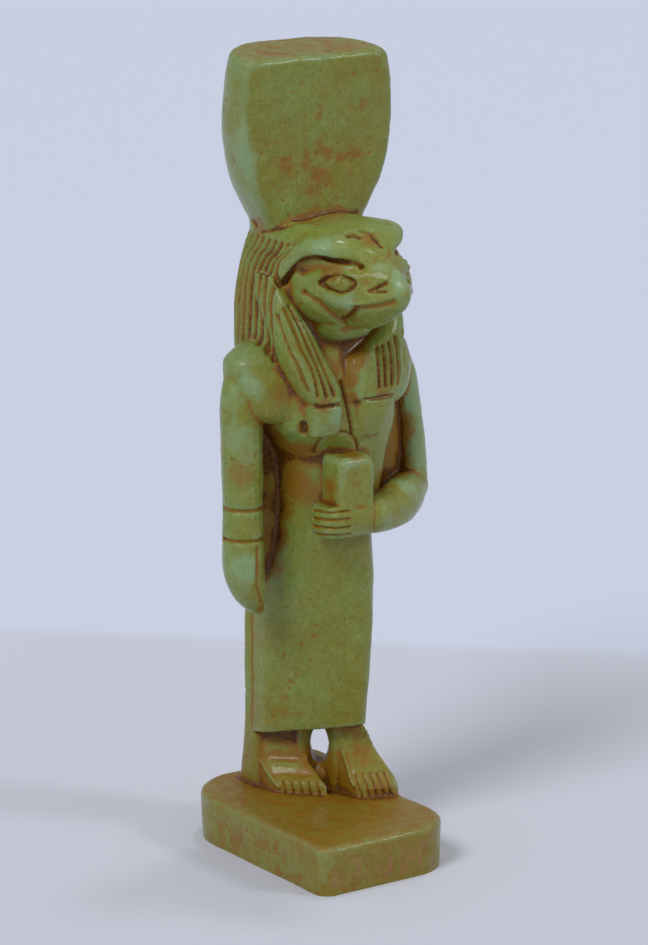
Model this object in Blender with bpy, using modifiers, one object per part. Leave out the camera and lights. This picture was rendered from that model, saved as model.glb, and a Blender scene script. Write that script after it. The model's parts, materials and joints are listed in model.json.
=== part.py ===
"""Horus statuette: a falcon-headed figure with a tall crown, carved in one with its plinth.

Metres, +Z up. The figure faces -Y and its own left side is +X. The origin is the middle of the plinth's
underside.

The figure is laid out on a grid of its own, in which it is 159.5 units tall and 1 unit is 1 mm on the real
statuette: x from its middle line, y from the plinth's middle, and z with the plinth's top at GROUND. Its
forms are closed lofts, tubes and balls that reach into each other. They are fused by a voxel remesh,
smoothed, and cut along groove lines, as the carver cut them. Then the mesh is thinned, and the underside is
cut flat.
"""

import math

import bmesh
import bpy
import numpy as np
from mathutils import Vector
from mathutils.bvhtree import BVHTree

# The plinth, in metres.
PLINTH_WIDTH = 0.0350
PLINTH_DEPTH = 0.0546
PLINTH_HEIGHT = 0.0105
# Its corners' radii: front right, front left, back left and back right of the figure.
PLINTH_CORNERS = (0.0030, 0.0100, 0.0100, 0.0130)
PLINTH_EDGE = 0.0014
PLINTH_UNDERCUT = 0.0004
PLINTH_SPARE = 0.0020  # how far the rough block reaches below the underside before it is cut flat

# The figure, in metres.
FIGURE_HEIGHT = 0.1595
FIGURE_X = 0.0040  # its middle line stands to the left of the plinth's

# The figure's grid.
GRID_HEIGHT = 159.5
UNIT = FIGURE_HEIGHT / GRID_HEIGHT
GROUND = 10.5
SINK = 3.0  # how far the figure's forms reach below the plinth's top
HEAD_TILT = 0.08  # the head leans: its left side is higher by this share of x

# The fused solid.
VOXEL = 0.00045
SOFTENING = 3
SOLID_TRIANGLES = 9600

COLOUR = (0.26, 0.29, 0.11, 1.0)
ROUGHNESS = 0.4

RIGHT, LEFT = -1, 1

# Upright forms. Each row is a section: z, middle x, half width, y where it is widest, front y, back y, and
# how square it is in front and at the back (2 is an ellipse). The body's rows go on with the slant of its
# front, which follows the advanced left leg, and how square its right front is.
BODY = (
    (25.5, 0.0, 9.2, 13.0, 2.0, 18.5, 3.2, 5.0, -0.95, 2.0),
    (34.0, 0.1, 9.3, 12.6, 0.6, 18.5, 3.1, 5.0, -0.90, 2.0),
    (46.0, 0.3, 9.6, 12.0, -1.6, 18.5, 3.0, 5.0, -0.72, 2.1),
    (60.0, 0.3, 9.7, 11.0, -4.6, 18.3, 2.9, 5.0, -0.42, 2.1),
    (70.0, 0.2, 9.5, 9.5, -5.8, 17.5, 2.8, 5.0, -0.12, 2.0),
    (78.0, 0.8, 10.1, 8.6, -5.8, 17.0, 4.0, 5.0, 0.0, 1.8),
    (85.0, 1.1, 10.8, 8.0, -6.2, 17.0, 4.6, 4.4, 0.0, 1.8),
    (89.0, 0.7, 12.3, 7.4, -7.0, 16.8, 4.2, 4.0, 0.0, 2.2),
    (93.5, 0.2, 14.4, 7.0, -7.8, 16.5, 3.4, 4.0, 0.0, 3.0),
    (101.0, 0.0, 15.8, 6.5, -7.2, 16.0, 2.8, 3.5, 0.0, 3.0),
    (106.5, 0.0, 16.0, 6.5, -5.6, 15.5, 2.6, 3.2, 0.0, 2.6),
    (111.0, 0.0, 12.5, 6.5, -4.0, 15.0, 2.5, 3.0, 0.0, 2.5),
)
HEM_SLOPE = 0.19  # the hem drops towards the back by this share of y
HEM_REACH = 12.0  # and is level again this high above it
PILLAR = (
    (GROUND - SINK, -2.6, 6.6, 18.5, 14.0, 23.4, 5.0, 5.0),
    (16.0, -2.4, 6.6, 18.5, 15.0, 22.2, 5.0, 5.0),
    (23.0, -1.6, 7.4, 18.5, 16.0, 21.2, 5.0, 5.0),
    (26.5, 0.0, 9.1, 18.5, 16.4, 20.8, 5.0, 5.0),
    (60.0, 0.0, 9.3, 18.5, 16.4, 20.3, 5.0, 5.0),
    (108.0, 0.0, 9.3, 18.5, 14.0, 20.3, 5.0, 5.0),
)
RIGHT_WEB = (
    (57.0, -10.5, 3.0, 12.5, 11.5, 13.5, 2.2, 2.2),
    (61.0, -11.0, 6.5, 12.0, 10.0, 13.5, 2.6, 3.0),
    (66.0, -11.5, 8.0, 11.0, 8.0, 13.0, 3.0, 4.0),
    (71.0, -12.0, 8.0, 10.2, 6.8, 12.8, 3.6, 4.0),
    (80.0, -12.0, 8.0, 9.5, 6.6, 13.0, 4.0, 4.0),
    (88.0, -12.0, 8.0, 9.5, 7.0, 13.0, 4.0, 4.0),
    (103.0, -11.0, 8.0, 9.5, 6.0, 13.5, 4.0, 4.0),
)
LEFT_WEB = (
    (73.0, 12.0, 7.4, 6.0, 1.6, 11.0, 3.0, 3.0),
    (78.0, 12.0, 8.0, 7.0, 1.2, 12.0, 4.0, 4.0),
    (90.0, 12.0, 8.0, 7.5, 2.0, 13.0, 4.0, 4.0),
    (103.0, 11.0, 8.0, 9.5, 4.0, 13.5, 4.0, 4.0),
)
SHOULDERS = (
    (92.8, 0.0, 13.0, 5.0, -1.6, 12.4, 2.5, 2.5),
    (94.4, 0.0, 18.0, 5.0, -4.0, 13.0, 2.4, 2.6),
    (97.0, 0.0, 20.8, 5.0, -5.0, 13.5, 2.4, 2.6),
    (102.0, 0.0, 22.2, 5.4, -4.8, 13.8, 2.4, 2.5),
    (106.0, -0.3, 22.2, 5.8, -2.8, 13.2, 2.3, 2.5),
    (109.0, -0.4, 19.2, 6.0, -1.2, 12.4, 2.3, 2.5),
    (110.6, -0.3, 15.2, 6.0, 0.6, 11.5, 2.2, 2.5),
)
# Stone left standing behind the advanced foot, and between the legs.
HEEL_WEB = (
    (GROUND - SINK, 5.4, 4.4, 13.0, 6.0, 20.5, 4.0, 4.0),
    (13.4, 5.4, 4.2, 13.0, 6.0, 20.3, 4.0, 4.0),
    (14.8, 5.3, 3.2, 13.0, 6.5, 19.4, 3.0, 3.0),
)
LEG_PLATE = (
    (GROUND - SINK, 1.6, 3.8, 11.0, 8.8, 14.5, 4.0, 4.0),
    (27.5, 1.6, 3.8, 11.0, 8.8, 14.5, 4.0, 4.0),
)
WIG = (
    (103.5, 0.0, 14.6, 8.0, -3.0, 20.3, 3.6, 3.2),
    (108.0, 0.0, 15.0, 8.0, -3.6, 20.6, 4.2, 3.2),
    (114.0, 0.0, 14.8, 8.5, -4.0, 20.7, 4.6, 3.2),
    (120.0, 0.0, 14.4, 9.0, -3.6, 20.6, 4.6, 3.1),
    (125.0, 0.0, 13.6, 8.5, -3.0, 20.3, 4.2, 3.0),
    (128.0, 0.0, 12.9, 7.5, -6.0, 20.0, 3.0, 3.0),
    (130.5, 0.0, 12.2, 6.5, -11.0, 19.8, 2.5, 3.0),
    (133.0, 0.0, 10.8, 6.0, -11.0, 19.2, 2.3, 3.0),
    (134.8, 0.0, 8.6, 6.0, -8.0, 18.0, 2.2, 3.0),
)
CROWN = (
    (130.0, 0.0, 11.4, 7.6, 3.2, 19.6, 2.8, 2.8),
    (133.5, 0.0, 11.6, 7.4, 3.2, 19.9, 2.9, 2.8),
    (136.5, 0.0, 13.2, 7.2, 3.8, 20.3, 3.6, 2.9),
    (142.0, 0.2, 16.3, 7.0, 4.6, 20.8, 4.6, 3.0),
    (148.5, 0.3, 18.1, 6.9, 5.0, 21.0, 5.6, 3.0),
    (155.5, 0.3, 18.8, 6.8, 5.0, 21.2, 6.0, 3.0),
    (162.0, 0.2, 18.5, 6.8, 4.8, 20.8, 6.0, 2.9),
    (167.5, 0.1, 17.7, 6.8, 4.8, 19.8, 6.0, 2.8),
    (168.7, 0.0, 17.3, 6.8, 4.9, 19.4, 5.5, 2.8),
    (169.3, 0.0, 16.6, 7.2, 5.5, 18.6, 4.5, 2.8),
)
CROWN_LEVEL = 158.0  # where the crown's sections begin to tilt
CROWN_RISE = 0.13  # how steeply its top rises, about CROWN_MIDDLE
CROWN_MIDDLE = 12.0
# The strands of the wig that hang on the chest, and the plain ends below their cut.
RIGHT_LAPPET = (
    (98.6, -7.0, 4.0, -3.6, -9.6, 0.0, 4.0, 3.0),
    (102.6, -8.6, 4.7, -3.6, -9.7, 0.0, 3.6, 3.0),
    (107.0, -10.3, 4.4, -3.0, -9.2, 1.0, 3.2, 3.0),
    (112.4, -11.8, 3.5, -2.0, -7.8, 3.0, 2.8, 3.0),
    (117.0, -13.0, 2.7, 0.0, -5.2, 5.5, 2.6, 3.0),
    (121.0, -13.7, 1.8, 2.0, -2.2, 7.5, 2.5, 3.0),
    (124.5, -13.6, 1.2, 3.4, 0.8, 8.0, 2.5, 3.0),
)
RIGHT_LAPPET_END = (
    (91.8, -6.6, 3.6, -3.6, -8.2, 0.0, 4.0, 3.0),
    (95.0, -6.8, 4.1, -3.6, -9.1, 0.0, 4.0, 3.0),
    (98.2, -7.0, 4.2, -3.6, -9.4, 0.0, 4.0, 3.0),
)
LEFT_LAPPET = (
    (98.6, 5.2, 6.2, -3.6, -9.4, 0.0, 4.0, 3.0),
    (103.0, 5.6, 7.4, -3.6, -9.4, 0.0, 3.8, 3.0),
    (106.8, 6.4, 7.2, -3.2, -8.9, 0.6, 3.4, 3.0),
    (109.5, 9.2, 4.8, -2.6, -8.2, 1.6, 3.0, 3.0),
    (114.0, 11.6, 3.2, -1.0, -6.4, 4.0, 2.8, 3.0),
    (118.0, 12.4, 2.5, 1.0, -3.6, 6.0, 2.5, 3.0),
    (123.0, 13.0, 1.4, 3.0, 0.4, 8.0, 2.5, 3.0),
)
LEFT_LAPPET_END = (
    (90.6, 4.1, 3.8, -3.6, -7.8, 0.0, 4.0, 3.0),
    (94.0, 4.6, 4.4, -3.6, -8.8, 0.0, 4.0, 3.0),
    (98.2, 5.4, 5.2, -3.6, -9.2, 0.0, 4.0, 3.0),
)
HELD_BLOCK = (
    (73.0, -2.1, 4.3, -8.0, -12.4, -4.0, 7.0, 4.0),
    (85.4, -2.1, 4.4, -8.0, -12.2, -4.0, 7.0, 4.0),
    (86.8, -2.1, 4.2, -8.0, -11.8, -4.0, 6.0, 4.0),
    (87.4, -2.1, 3.6, -8.0, -11.2, -4.5, 5.0, 4.0),
)
LEFT_HAND = (
    (70.2, -1.8, 6.2, -6.6, -10.6, -3.0, 3.4, 2.6),
    (71.0, -2.0, 7.0, -6.6, -11.8, -3.0, 3.6, 2.6),
    (74.0, -2.2, 7.4, -6.6, -12.8, -3.0, 3.6, 2.6),
    (76.2, -2.1, 7.2, -6.6, -12.6, -3.0, 3.6, 2.6),
    (77.2, -1.9, 6.6, -6.6, -11.8, -3.0, 3.4, 2.6),
)

# Forms that lie from front to back. Each row: y, middle x, half width, z where it is widest, lowest z,
# highest z, and how square it is below and above.
FACE = (
    (-25.9, 0.0, 0.7, 123.4, 121.8, 124.7, 2.0, 1.5),
    (-25.0, 0.0, 1.7, 123.4, 120.4, 125.9, 1.6, 1.4),
    (-23.4, 0.0, 3.1, 122.9, 119.2, 127.3, 1.5, 1.35),
    (-21.0, 0.0, 4.9, 122.2, 117.6, 128.7, 1.4, 1.5),
    (-17.9, 0.0, 7.1, 121.7, 115.9, 129.6, 1.25, 2.3),
    (-15.6, 0.0, 8.6, 121.6, 115.0, 130.2, 1.2, 3.0),
    (-13.5, 0.0, 9.3, 121.8, 114.4, 130.8, 1.25, 3.4),
    (-11.2, 0.0, 9.9, 122.0, 113.9, 131.4, 1.3, 3.8),
    (-8.0, 0.0, 10.8, 122.3, 113.2, 132.0, 1.5, 3.8),
    (-5.0, 0.0, 11.5, 122.6, 112.8, 132.6, 1.8, 3.4),
    (2.0, 0.0, 12.2, 121.5, 112.4, 133.0, 2.1, 3.0),
    (9.0, 0.0, 10.0, 120.0, 112.4, 132.0, 2.2, 2.6),
)
THROAT = (
    (110.8, 0.0, 4.8, -2.0, -6.2, 4.0, 2.2, 3.0),
    (112.0, 0.0, 6.4, -2.0, -8.8, 4.0, 2.0, 3.0),
    (114.0, 0.0, 7.6, -2.0, -10.4, 4.0, 1.9, 3.0),
    (117.0, 0.0, 8.6, -2.0, -11.2, 4.0, 1.9, 3.0),
)
# The cap over the eyes, whose rim is the brows.
BROWS = (
    (-17.4, 0.0, 0.8, 129.4, 128.6, 130.2, 2.0, 2.0),
    (-15.8, 0.0, 3.5, 129.9, 128.8, 131.1, 2.4, 2.0),
    (-13.9, 0.0, 6.5, 130.6, 129.2, 132.3, 3.0, 2.2),
    (-12.0, 0.0, 9.1, 131.4, 129.7, 133.6, 3.2, 2.4),
    (-9.8, 0.0, 10.7, 131.9, 130.2, 134.6, 3.2, 2.5),
    (-6.5, 0.0, 12.3, 131.4, 129.6, 135.2, 3.2, 2.4),
    (-4.7, 0.0, 12.9, 130.0, 128.1, 135.4, 3.2, 2.4),
    (-2.3, 0.0, 13.4, 127.7, 125.6, 135.5, 3.2, 2.4),
    (-0.8, 0.0, 13.7, 126.2, 124.0, 135.5, 3.0, 2.4),
    (2.0, 0.0, 13.8, 124.5, 121.6, 135.4, 3.0, 2.4),
    (8.0, 0.0, 13.3, 123.0, 119.0, 135.0, 3.0, 2.4),
)
# The feet's rows are turned: their sides stand before or behind the middle by FOOT_SLANTS of x.
RIGHT_FOOT = (
    (4.6, -4.2, 3.2, GROUND, GROUND - SINK, 12.1, 3.0, 4.0),
    (5.2, -4.2, 3.9, GROUND, GROUND - SINK, 13.2, 3.0, 5.0),
    (7.4, -4.2, 4.1, GROUND, GROUND - SINK, 14.0, 3.0, 6.0),
    (9.0, -4.2, 4.0, GROUND, GROUND - SINK, 15.6, 3.0, 6.0),
    (11.4, -4.2, 3.9, GROUND, GROUND - SINK, 17.2, 3.0, 6.0),
    (12.0, -4.2, 3.9, GROUND, GROUND - SINK, 19.0, 3.0, 6.0),
    (13.3, -4.2, 3.9, GROUND, GROUND - SINK, 21.4, 3.0, 6.0),
    (13.9, -4.2, 3.9, GROUND, GROUND - SINK, 27.5, 3.0, 6.0),
    (17.6, -4.2, 4.0, GROUND, GROUND - SINK, 27.5, 3.0, 5.0),
)
LEFT_FOOT = (
    (-6.0, 8.0, 3.4, GROUND + 0.6, GROUND - SINK, 12.4, 3.0, 4.0),
    (-5.2, 8.1, 4.3, GROUND + 0.6, GROUND - SINK, 13.8, 3.0, 5.0),
    (-3.6, 8.1, 4.4, GROUND, GROUND - SINK, 15.4, 3.0, 6.0),
    (-2.0, 7.9, 4.2, GROUND, GROUND - SINK, 17.2, 3.0, 6.0),
    (-0.6, 7.6, 3.9, GROUND, GROUND - SINK, 19.0, 3.0, 6.0),
    (0.6, 7.2, 3.6, GROUND, GROUND - SINK, 21.2, 3.0, 6.0),
    (1.6, 6.9, 3.3, GROUND, GROUND - SINK, 24.0, 3.0, 6.0),
    (2.4, 6.0, 3.0, GROUND, GROUND - SINK, 27.2, 3.0, 6.0),
    (9.6, 5.8, 3.0, GROUND, GROUND - SINK, 27.2, 4.0, 6.0),
)
FOOT_SLANTS = (-1.0, -0.4)
# What is left open under the hem, between the advanced left leg and the pillar.
LEG_GAP = ((2.7, 8.6, 19.4), (2.0, 16.0, 4.2), (0.0, 0.0, -34.0))

# Round forms. Each row: x, y, z and radius.
RIGHT_ARM = (
    (-17.2, 6.0, 105.6, 3.6),
    (-19.2, 5.4, 101.0, 4.7),
    (-19.4, 5.0, 92.0, 4.5),
    (-19.3, 5.0, 82.0, 4.4),
    (-19.2, 5.0, 74.0, 4.2),
    (-19.4, 4.8, 66.0, 4.6),
    (-19.2, 4.4, 61.0, 4.4),
    (-17.6, 4.2, 56.0, 3.2),
    (-15.6, 4.6, 53.4, 1.2),
)
LEFT_UPPER_ARM = (
    (17.6, 6.0, 105.6, 3.4),
    (20.8, 5.0, 101.0, 3.5),
    (22.0, 3.5, 92.0, 2.8),
    (22.4, 2.0, 82.0, 2.7),
    (21.0, 1.0, 75.6, 3.7),
)
LEFT_FOREARM = (
    (20.9, 1.2, 75.6, 3.7),
    (15.0, -3.6, 74.4, 4.9),
    (9.5, -7.6, 73.7, 4.3),
    (4.0, -9.4, 74.0, 4.0),
)

# The eyeball: a dome on the surface, with its middle, radius and height.
EYEBALL = ((8.0, -13.6, 125.5), 1.5, 0.9)


def place(x, y, z):
    """A point of the figure's grid, in metres."""
    return Vector((FIGURE_X + x * UNIT, y * UNIT, PLINTH_HEIGHT + (z - GROUND) * UNIT))


def place_on_crown(x, y, z):
    """The same for the crown, whose top rises towards the back."""
    share = min(1.0, max(0.0, (z - CROWN_LEVEL) / (CROWN[-1][0] - CROWN_LEVEL)))
    return place(x, y, z + CROWN_RISE * share * (y - CROWN_MIDDLE))


def place_on_head(x, y, z):
    """The same for the face, whose left side is higher."""
    return place(x, y, z + HEAD_TILT * x)


def eased(rows, at):
    """The rest of a table's row at any value of its first column, on smooth curves that never overshoot."""
    table = np.array(rows, float)
    keys = table[:, 0]
    secants = np.diff(table[:, 1:], axis=0) / np.diff(keys)[:, None]
    slopes = np.zeros_like(table[:, 1:])
    before, after = secants[:-1], secants[1:]
    same = before * after > 0
    slopes[1:-1][same] = 2 * before[same] * after[same] / (before[same] + after[same])
    slopes[0], slopes[-1] = secants[0], secants[-1]
    i = int(np.clip(np.searchsorted(keys, at, side="right") - 1, 0, len(keys) - 2))
    span = keys[i + 1] - keys[i]
    t = (at - keys[i]) / span
    return (
        (2 * t**3 - 3 * t**2 + 1) * table[i, 1:]
        + (t**3 - 2 * t**2 + t) * span * slopes[i]
        + (3 * t**2 - 2 * t**3) * table[i + 1, 1:]
        + (t**3 - t**2) * span * slopes[i + 1]
    )


def steps(first, last, spacing):
    """Evenly spaced values from first to last, about `spacing` apart."""
    return np.linspace(first, last, max(2, round(abs(last - first) / spacing) + 1))


def outline(half, near, far, square_near, square_far, slant=0.0, square_right=None, count=96):
    """A rounded outline that reaches `near` below its widest line and `far` above it, as square as asked."""
    points = []
    for k in range(count):
        angle = 2 * math.pi * k / count
        across, along = math.cos(angle), math.sin(angle)
        depth, square = (near, square_near) if along < 0 else (far, square_far)
        if along < 0 and across < 0 and square_right:
            square = square_right
        u = half * math.copysign(abs(across) ** (2 / square), across)
        share = abs(along) ** (2 / square)
        v = math.copysign(depth * share, along)
        if along < 0:
            v += slant * u * share
        points.append((u, v))
    return points


def new_form(name, bm):
    """A form of the figure: a guide, kept out of the model."""
    mesh = bpy.data.meshes.new(name)
    bm.to_mesh(mesh)
    bm.free()
    return link_form(name, mesh)


def link_form(name, data):
    form = bpy.data.objects.new(name, data)
    form.hide_render = True
    form.display_type = "WIRE"
    forms.objects.link(form)
    return form


def loft(name, rings):
    """A closed skin over rings that have the same number of points."""
    bm = bmesh.new()
    loops = [[bm.verts.new(point) for point in ring] for ring in rings]
    for low, high in zip(loops, loops[1:]):
        for i, j in zip(range(len(low)), [*range(1, len(low)), 0]):
            bm.faces.new((low[i], low[j], high[j], high[i]))
    bm.faces.new(reversed(loops[0]))
    bm.faces.new(loops[-1])
    bmesh.ops.recalc_face_normals(bm, faces=bm.faces)
    return new_form(name, bm)


def upright(name, rows, spacing=1.0, slope=0.0, reach=1.0, where=place):
    """A loft of level sections, from the lowest row to the highest, where `slope` tilts the lowest ones."""
    rings = []
    for z in steps(rows[0][0], rows[-1][0], spacing):
        x, half, y, front, back, *shape = eased(rows, z)
        tilt = slope * max(0.0, 1 - (z - rows[0][0]) / reach)
        section = outline(half, y - front, back - y, *shape)
        rings.append([where(x + u, y + v, z - tilt * (y + v)) for u, v in section])
    return loft(name, rings)


def lying(name, rows, where, spacing=0.8, slant=0.0):
    """A loft of sections that stand across the figure, from the front row to the back, turned by `slant`."""
    rings = []
    for y in steps(rows[0][0], rows[-1][0], spacing):
        x, half, z, low, high, square_low, square_high = eased(rows, y)
        section = outline(half, z - low, high - z, square_low, square_high)
        rings.append([where(x + u, y + slant * u, z + v) for u, v in section])
    return loft(name, rings)


def tube(name, rows, where=place):
    """A round form of changing thickness along a smooth line."""
    curve = bpy.data.curves.new(name, "CURVE")
    curve.dimensions = "3D"
    curve.bevel_depth = 1.0
    curve.bevel_resolution = 6
    curve.resolution_u = 5
    curve.use_fill_caps = True
    spline = curve.splines.new("NURBS")
    spline.points.add(len(rows) - 1)
    spline.order_u = 3
    spline.use_endpoint_u = True
    for point, (x, y, z, radius) in zip(spline.points, rows):
        point.co = (*where(x, y, z), 1.0)
        point.radius = radius * UNIT
    form = link_form(name, curve)
    for end, row in (("top", rows[0]), ("tip", rows[-1])):
        ball(f"{name}_{end}", row[:3], (row[3],) * 3, (0.0, 0.0, 0.0), where)
    return form


def ball(name, middle, radii, turn, where=place):
    """An ellipsoid."""
    bm = bmesh.new()
    bmesh.ops.create_uvsphere(bm, u_segments=32, v_segments=20, radius=1.0)
    form = new_form(name, bm)
    form.location = where(*middle)
    form.rotation_euler = [math.radians(angle) for angle in turn]
    form.scale = [radius * UNIT for radius in radii]
    return form


def upright_corner(bm, sx, sy):
    """The edges of the block that stand at one of its corners."""
    at = (sx * PLINTH_WIDTH / 2, sy * PLINTH_DEPTH / 2)
    return [edge for edge in bm.edges if all(math.dist(v.co.xy, at) < 1e-6 for v in edge.verts)]


def build_plinth():
    """The block under the feet, with its corners rounded, its top edge softened and its sides undercut."""
    bm = bmesh.new()
    bmesh.ops.create_cube(bm, size=1.0)
    height = PLINTH_HEIGHT + PLINTH_SPARE
    bmesh.ops.scale(bm, vec=(PLINTH_WIDTH, PLINTH_DEPTH, height), verts=bm.verts)
    bmesh.ops.translate(bm, vec=(0.0, 0.0, PLINTH_HEIGHT - height / 2), verts=bm.verts)
    for (sx, sy), radius in zip(((-1, -1), (1, -1), (1, 1), (-1, 1)), PLINTH_CORNERS):
        corner = upright_corner(bm, sx, sy)
        bmesh.ops.bevel(bm, geom=corner, offset=radius, segments=10, profile=0.5, affect="EDGES")
    top = [edge for edge in bm.edges if all(v.co.z > PLINTH_HEIGHT - 1e-6 for v in edge.verts)]
    bmesh.ops.bevel(bm, geom=top, offset=PLINTH_EDGE, segments=6, profile=0.5, affect="EDGES")
    for v in bm.verts:
        if v.co.z < 0:
            v.co.x *= 1 - 2 * PLINTH_UNDERCUT / PLINTH_WIDTH
            v.co.y *= 1 - 2 * PLINTH_UNDERCUT / PLINTH_DEPTH
    return new_form("plinth", bm)


def build_body():
    upright("skirt_and_torso", BODY, slope=HEM_SLOPE, reach=HEM_REACH)
    upright("pillar", PILLAR)
    upright("right_web", RIGHT_WEB)
    upright("left_web", LEFT_WEB)
    upright("heel_web", HEEL_WEB)
    upright("leg_plate", LEG_PLATE)
    upright("shoulders", SHOULDERS)
    lying("right_foot", RIGHT_FOOT, place, 0.5, FOOT_SLANTS[0])
    lying("left_foot", LEFT_FOOT, place, 0.5, FOOT_SLANTS[1])


def build_arms():
    tube("right_arm", RIGHT_ARM)
    tube("left_upper_arm", LEFT_UPPER_ARM)
    tube("left_forearm", LEFT_FOREARM)
    upright("left_hand", LEFT_HAND, 0.5)
    upright("held_block", HELD_BLOCK, 0.6)


def build_head():
    upright("wig", WIG)
    upright("crown", CROWN, where=place_on_crown)
    upright("right_lappet", RIGHT_LAPPET, 0.6)
    upright("right_lappet_end", RIGHT_LAPPET_END, 0.6)
    upright("left_lappet", LEFT_LAPPET, 0.6)
    upright("left_lappet_end", LEFT_LAPPET_END, 0.6)
    lying("face", FACE, place_on_head, 0.6)
    lying("brows", BROWS, place_on_head, 0.5)
    upright("throat", THROAT)


def fuse(name, leg_gap):
    """One mesh of all the forms, less the gap between the legs, with their joins softened."""
    bm = bmesh.new()
    graph = bpy.context.evaluated_depsgraph_get()
    for form in forms.objects:
        if form == leg_gap:
            continue
        mesh = bpy.data.meshes.new_from_object(form.evaluated_get(graph))
        mesh.transform(form.matrix_world)
        bm.from_mesh(mesh)
        bpy.data.meshes.remove(mesh)
    bmesh.ops.remove_doubles(bm, verts=bm.verts, dist=1e-7)
    rough = bpy.data.meshes.new(name)
    bm.to_mesh(rough)
    bm.free()
    blank = bpy.data.objects.new(name, rough)
    bpy.context.scene.collection.objects.link(blank)
    remesh = blank.modifiers.new("fuse", "REMESH")
    remesh.mode = "VOXEL"
    remesh.voxel_size = VOXEL
    gap = blank.modifiers.new("leg_gap", "BOOLEAN")
    gap.solver = "EXACT"
    gap.object = leg_gap
    again = blank.modifiers.new("fuse_again", "REMESH")
    again.mode = "VOXEL"
    again.voxel_size = VOXEL
    soften = blank.modifiers.new("soften", "SMOOTH")
    soften.iterations = SOFTENING
    bpy.context.view_layer.update()
    fused = bpy.data.meshes.new_from_object(blank.evaluated_get(bpy.context.evaluated_depsgraph_get()))
    bpy.data.objects.remove(blank)
    bpy.data.meshes.remove(rough)
    return fused


def smooth_line(points, spacing):
    """Points along a smooth curve through the given ones."""
    points = np.array(points, float)
    lengths = np.concatenate(([0.0], np.cumsum(np.linalg.norm(np.diff(points, axis=0), axis=1))))
    if lengths[-1] == 0:
        return points
    rows = np.column_stack((lengths, points))
    return [eased(rows, at) for at in steps(0.0, lengths[-1], spacing)]


def carve(mesh, grooves):
    """Cut grooves into the surface, or raise it where a depth is negative.

    Each groove: points, half width and depth, in grid units.
    """
    count = len(mesh.vertices)
    places = np.empty(count * 3, np.float32)
    mesh.vertices.foreach_get("co", places)
    places = places.reshape(-1, 3).astype(float)
    normals = np.empty(count * 3, np.float32)
    mesh.vertex_normals.foreach_get("vector", normals)
    normals = normals.reshape(-1, 3)
    bm = bmesh.new()
    bm.from_mesh(mesh)
    surface = BVHTree.FromBMesh(bm)
    bm.free()
    cut = np.zeros(count)
    for points, half, depth in grooves:
        line = np.array([surface.find_nearest(Vector(p))[0] for p in smooth_line(points, 0.4 * UNIT)])
        reach = half * UNIT
        near = np.flatnonzero(
            np.all((places > line.min(axis=0) - reach) & (places < line.max(axis=0) + reach), axis=1)
        )
        if not len(near):
            continue
        gaps = np.linalg.norm(places[near, None, :] - line[None, :, :], axis=2).min(axis=1)
        dip = np.where(gaps < reach, 0.5 + 0.5 * np.cos(np.pi * gaps / reach), 0.0)
        dip *= depth * UNIT
        cut[near] = np.where(np.abs(dip) > np.abs(cut[near]), dip, cut[near])
    places -= normals * cut[:, None]
    mesh.vertices.foreach_set("co", places.astype(np.float32).ravel())
    mesh.update()


def strands(rows, shares, low, high):
    """Lines down a form at fixed shares of its outline, counted from the middle of its back."""
    lines = []
    for share in shares:
        line = []
        for z in steps(low, high, 1.5):
            x, half, y, front, back, *shape = eased(rows, z)
            section = np.array(outline(half, y - front, back - y, *shape, count=240))
            section = np.roll(section, -60, axis=0)
            section = np.vstack((section, section[:1]))
            run = np.concatenate(([0.0], np.cumsum(np.linalg.norm(np.diff(section, axis=0), axis=1))))
            at = (share % 1.0) * run[-1]
            u, v = np.interp(at, run, section[:, 0]), np.interp(at, run, section[:, 1])
            line.append(place(x + u, y + v, z))
        lines.append(line)
    return lines


STRAND = (1.0, 0.85)  # half width and depth
LAPPET_STRAND = (0.8, 0.75)
STRANDS_AROUND = 42
STRANDS_EACH_SIDE = 14
RIGHT_LAPPET_LINES = (
    ((-15.0, -2.2, 117.0), (-14.4, -5.3, 110.4), (-13.7, -7.9, 106.0), (-12.4, -8.6, 102.0)),
    ((-14.3, -3.2, 118.4), (-13.5, -7.5, 111.7), (-11.3, -8.5, 106.3), (-10.2, -9.2, 101.0)),
    ((-13.3, -3.6, 119.0), (-11.8, -8.0, 111.6), (-10.0, -9.2, 106.4), (-8.2, -9.7, 100.6)),
    ((-11.6, -5.4, 116.0), (-10.4, -7.5, 111.3), (-8.6, -8.7, 106.1), (-6.3, -9.4, 100.7)),
)
LEFT_LAPPET_LINES = (
    ((5.2, -8.4, 109.4), (5.3, -9.3, 105.0), (5.3, -9.4, 101.0)),
    ((6.8, -8.4, 109.4), (6.9, -9.3, 105.0), (6.9, -9.4, 101.0)),
    ((8.4, -8.4, 109.8), (8.6, -9.2, 105.0), (8.6, -9.2, 101.0)),
    ((10.2, -7.6, 110.4), (10.4, -8.6, 105.0), (10.4, -8.8, 101.0)),
    ((12.0, -6.0, 111.0), (12.1, -7.4, 105.0), (11.8, -7.8, 101.0)),
)


def wig_grooves():
    """The strands of the wig, from its top to the cut across its two ends on the chest."""
    grooves = []
    shares = [k / STRANDS_AROUND for k in range(-STRANDS_EACH_SIDE, STRANDS_EACH_SIDE + 1)]
    for line in strands(WIG, shares, 107.0, 131.0):
        grooves.append((line, *STRAND))
    for line in RIGHT_LAPPET_LINES:
        grooves.append(([place(*point) for point in line], *LAPPET_STRAND))
    for line in LEFT_LAPPET_LINES:
        grooves.append(([place(*point) for point in line], *LAPPET_STRAND))
    return grooves


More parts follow.
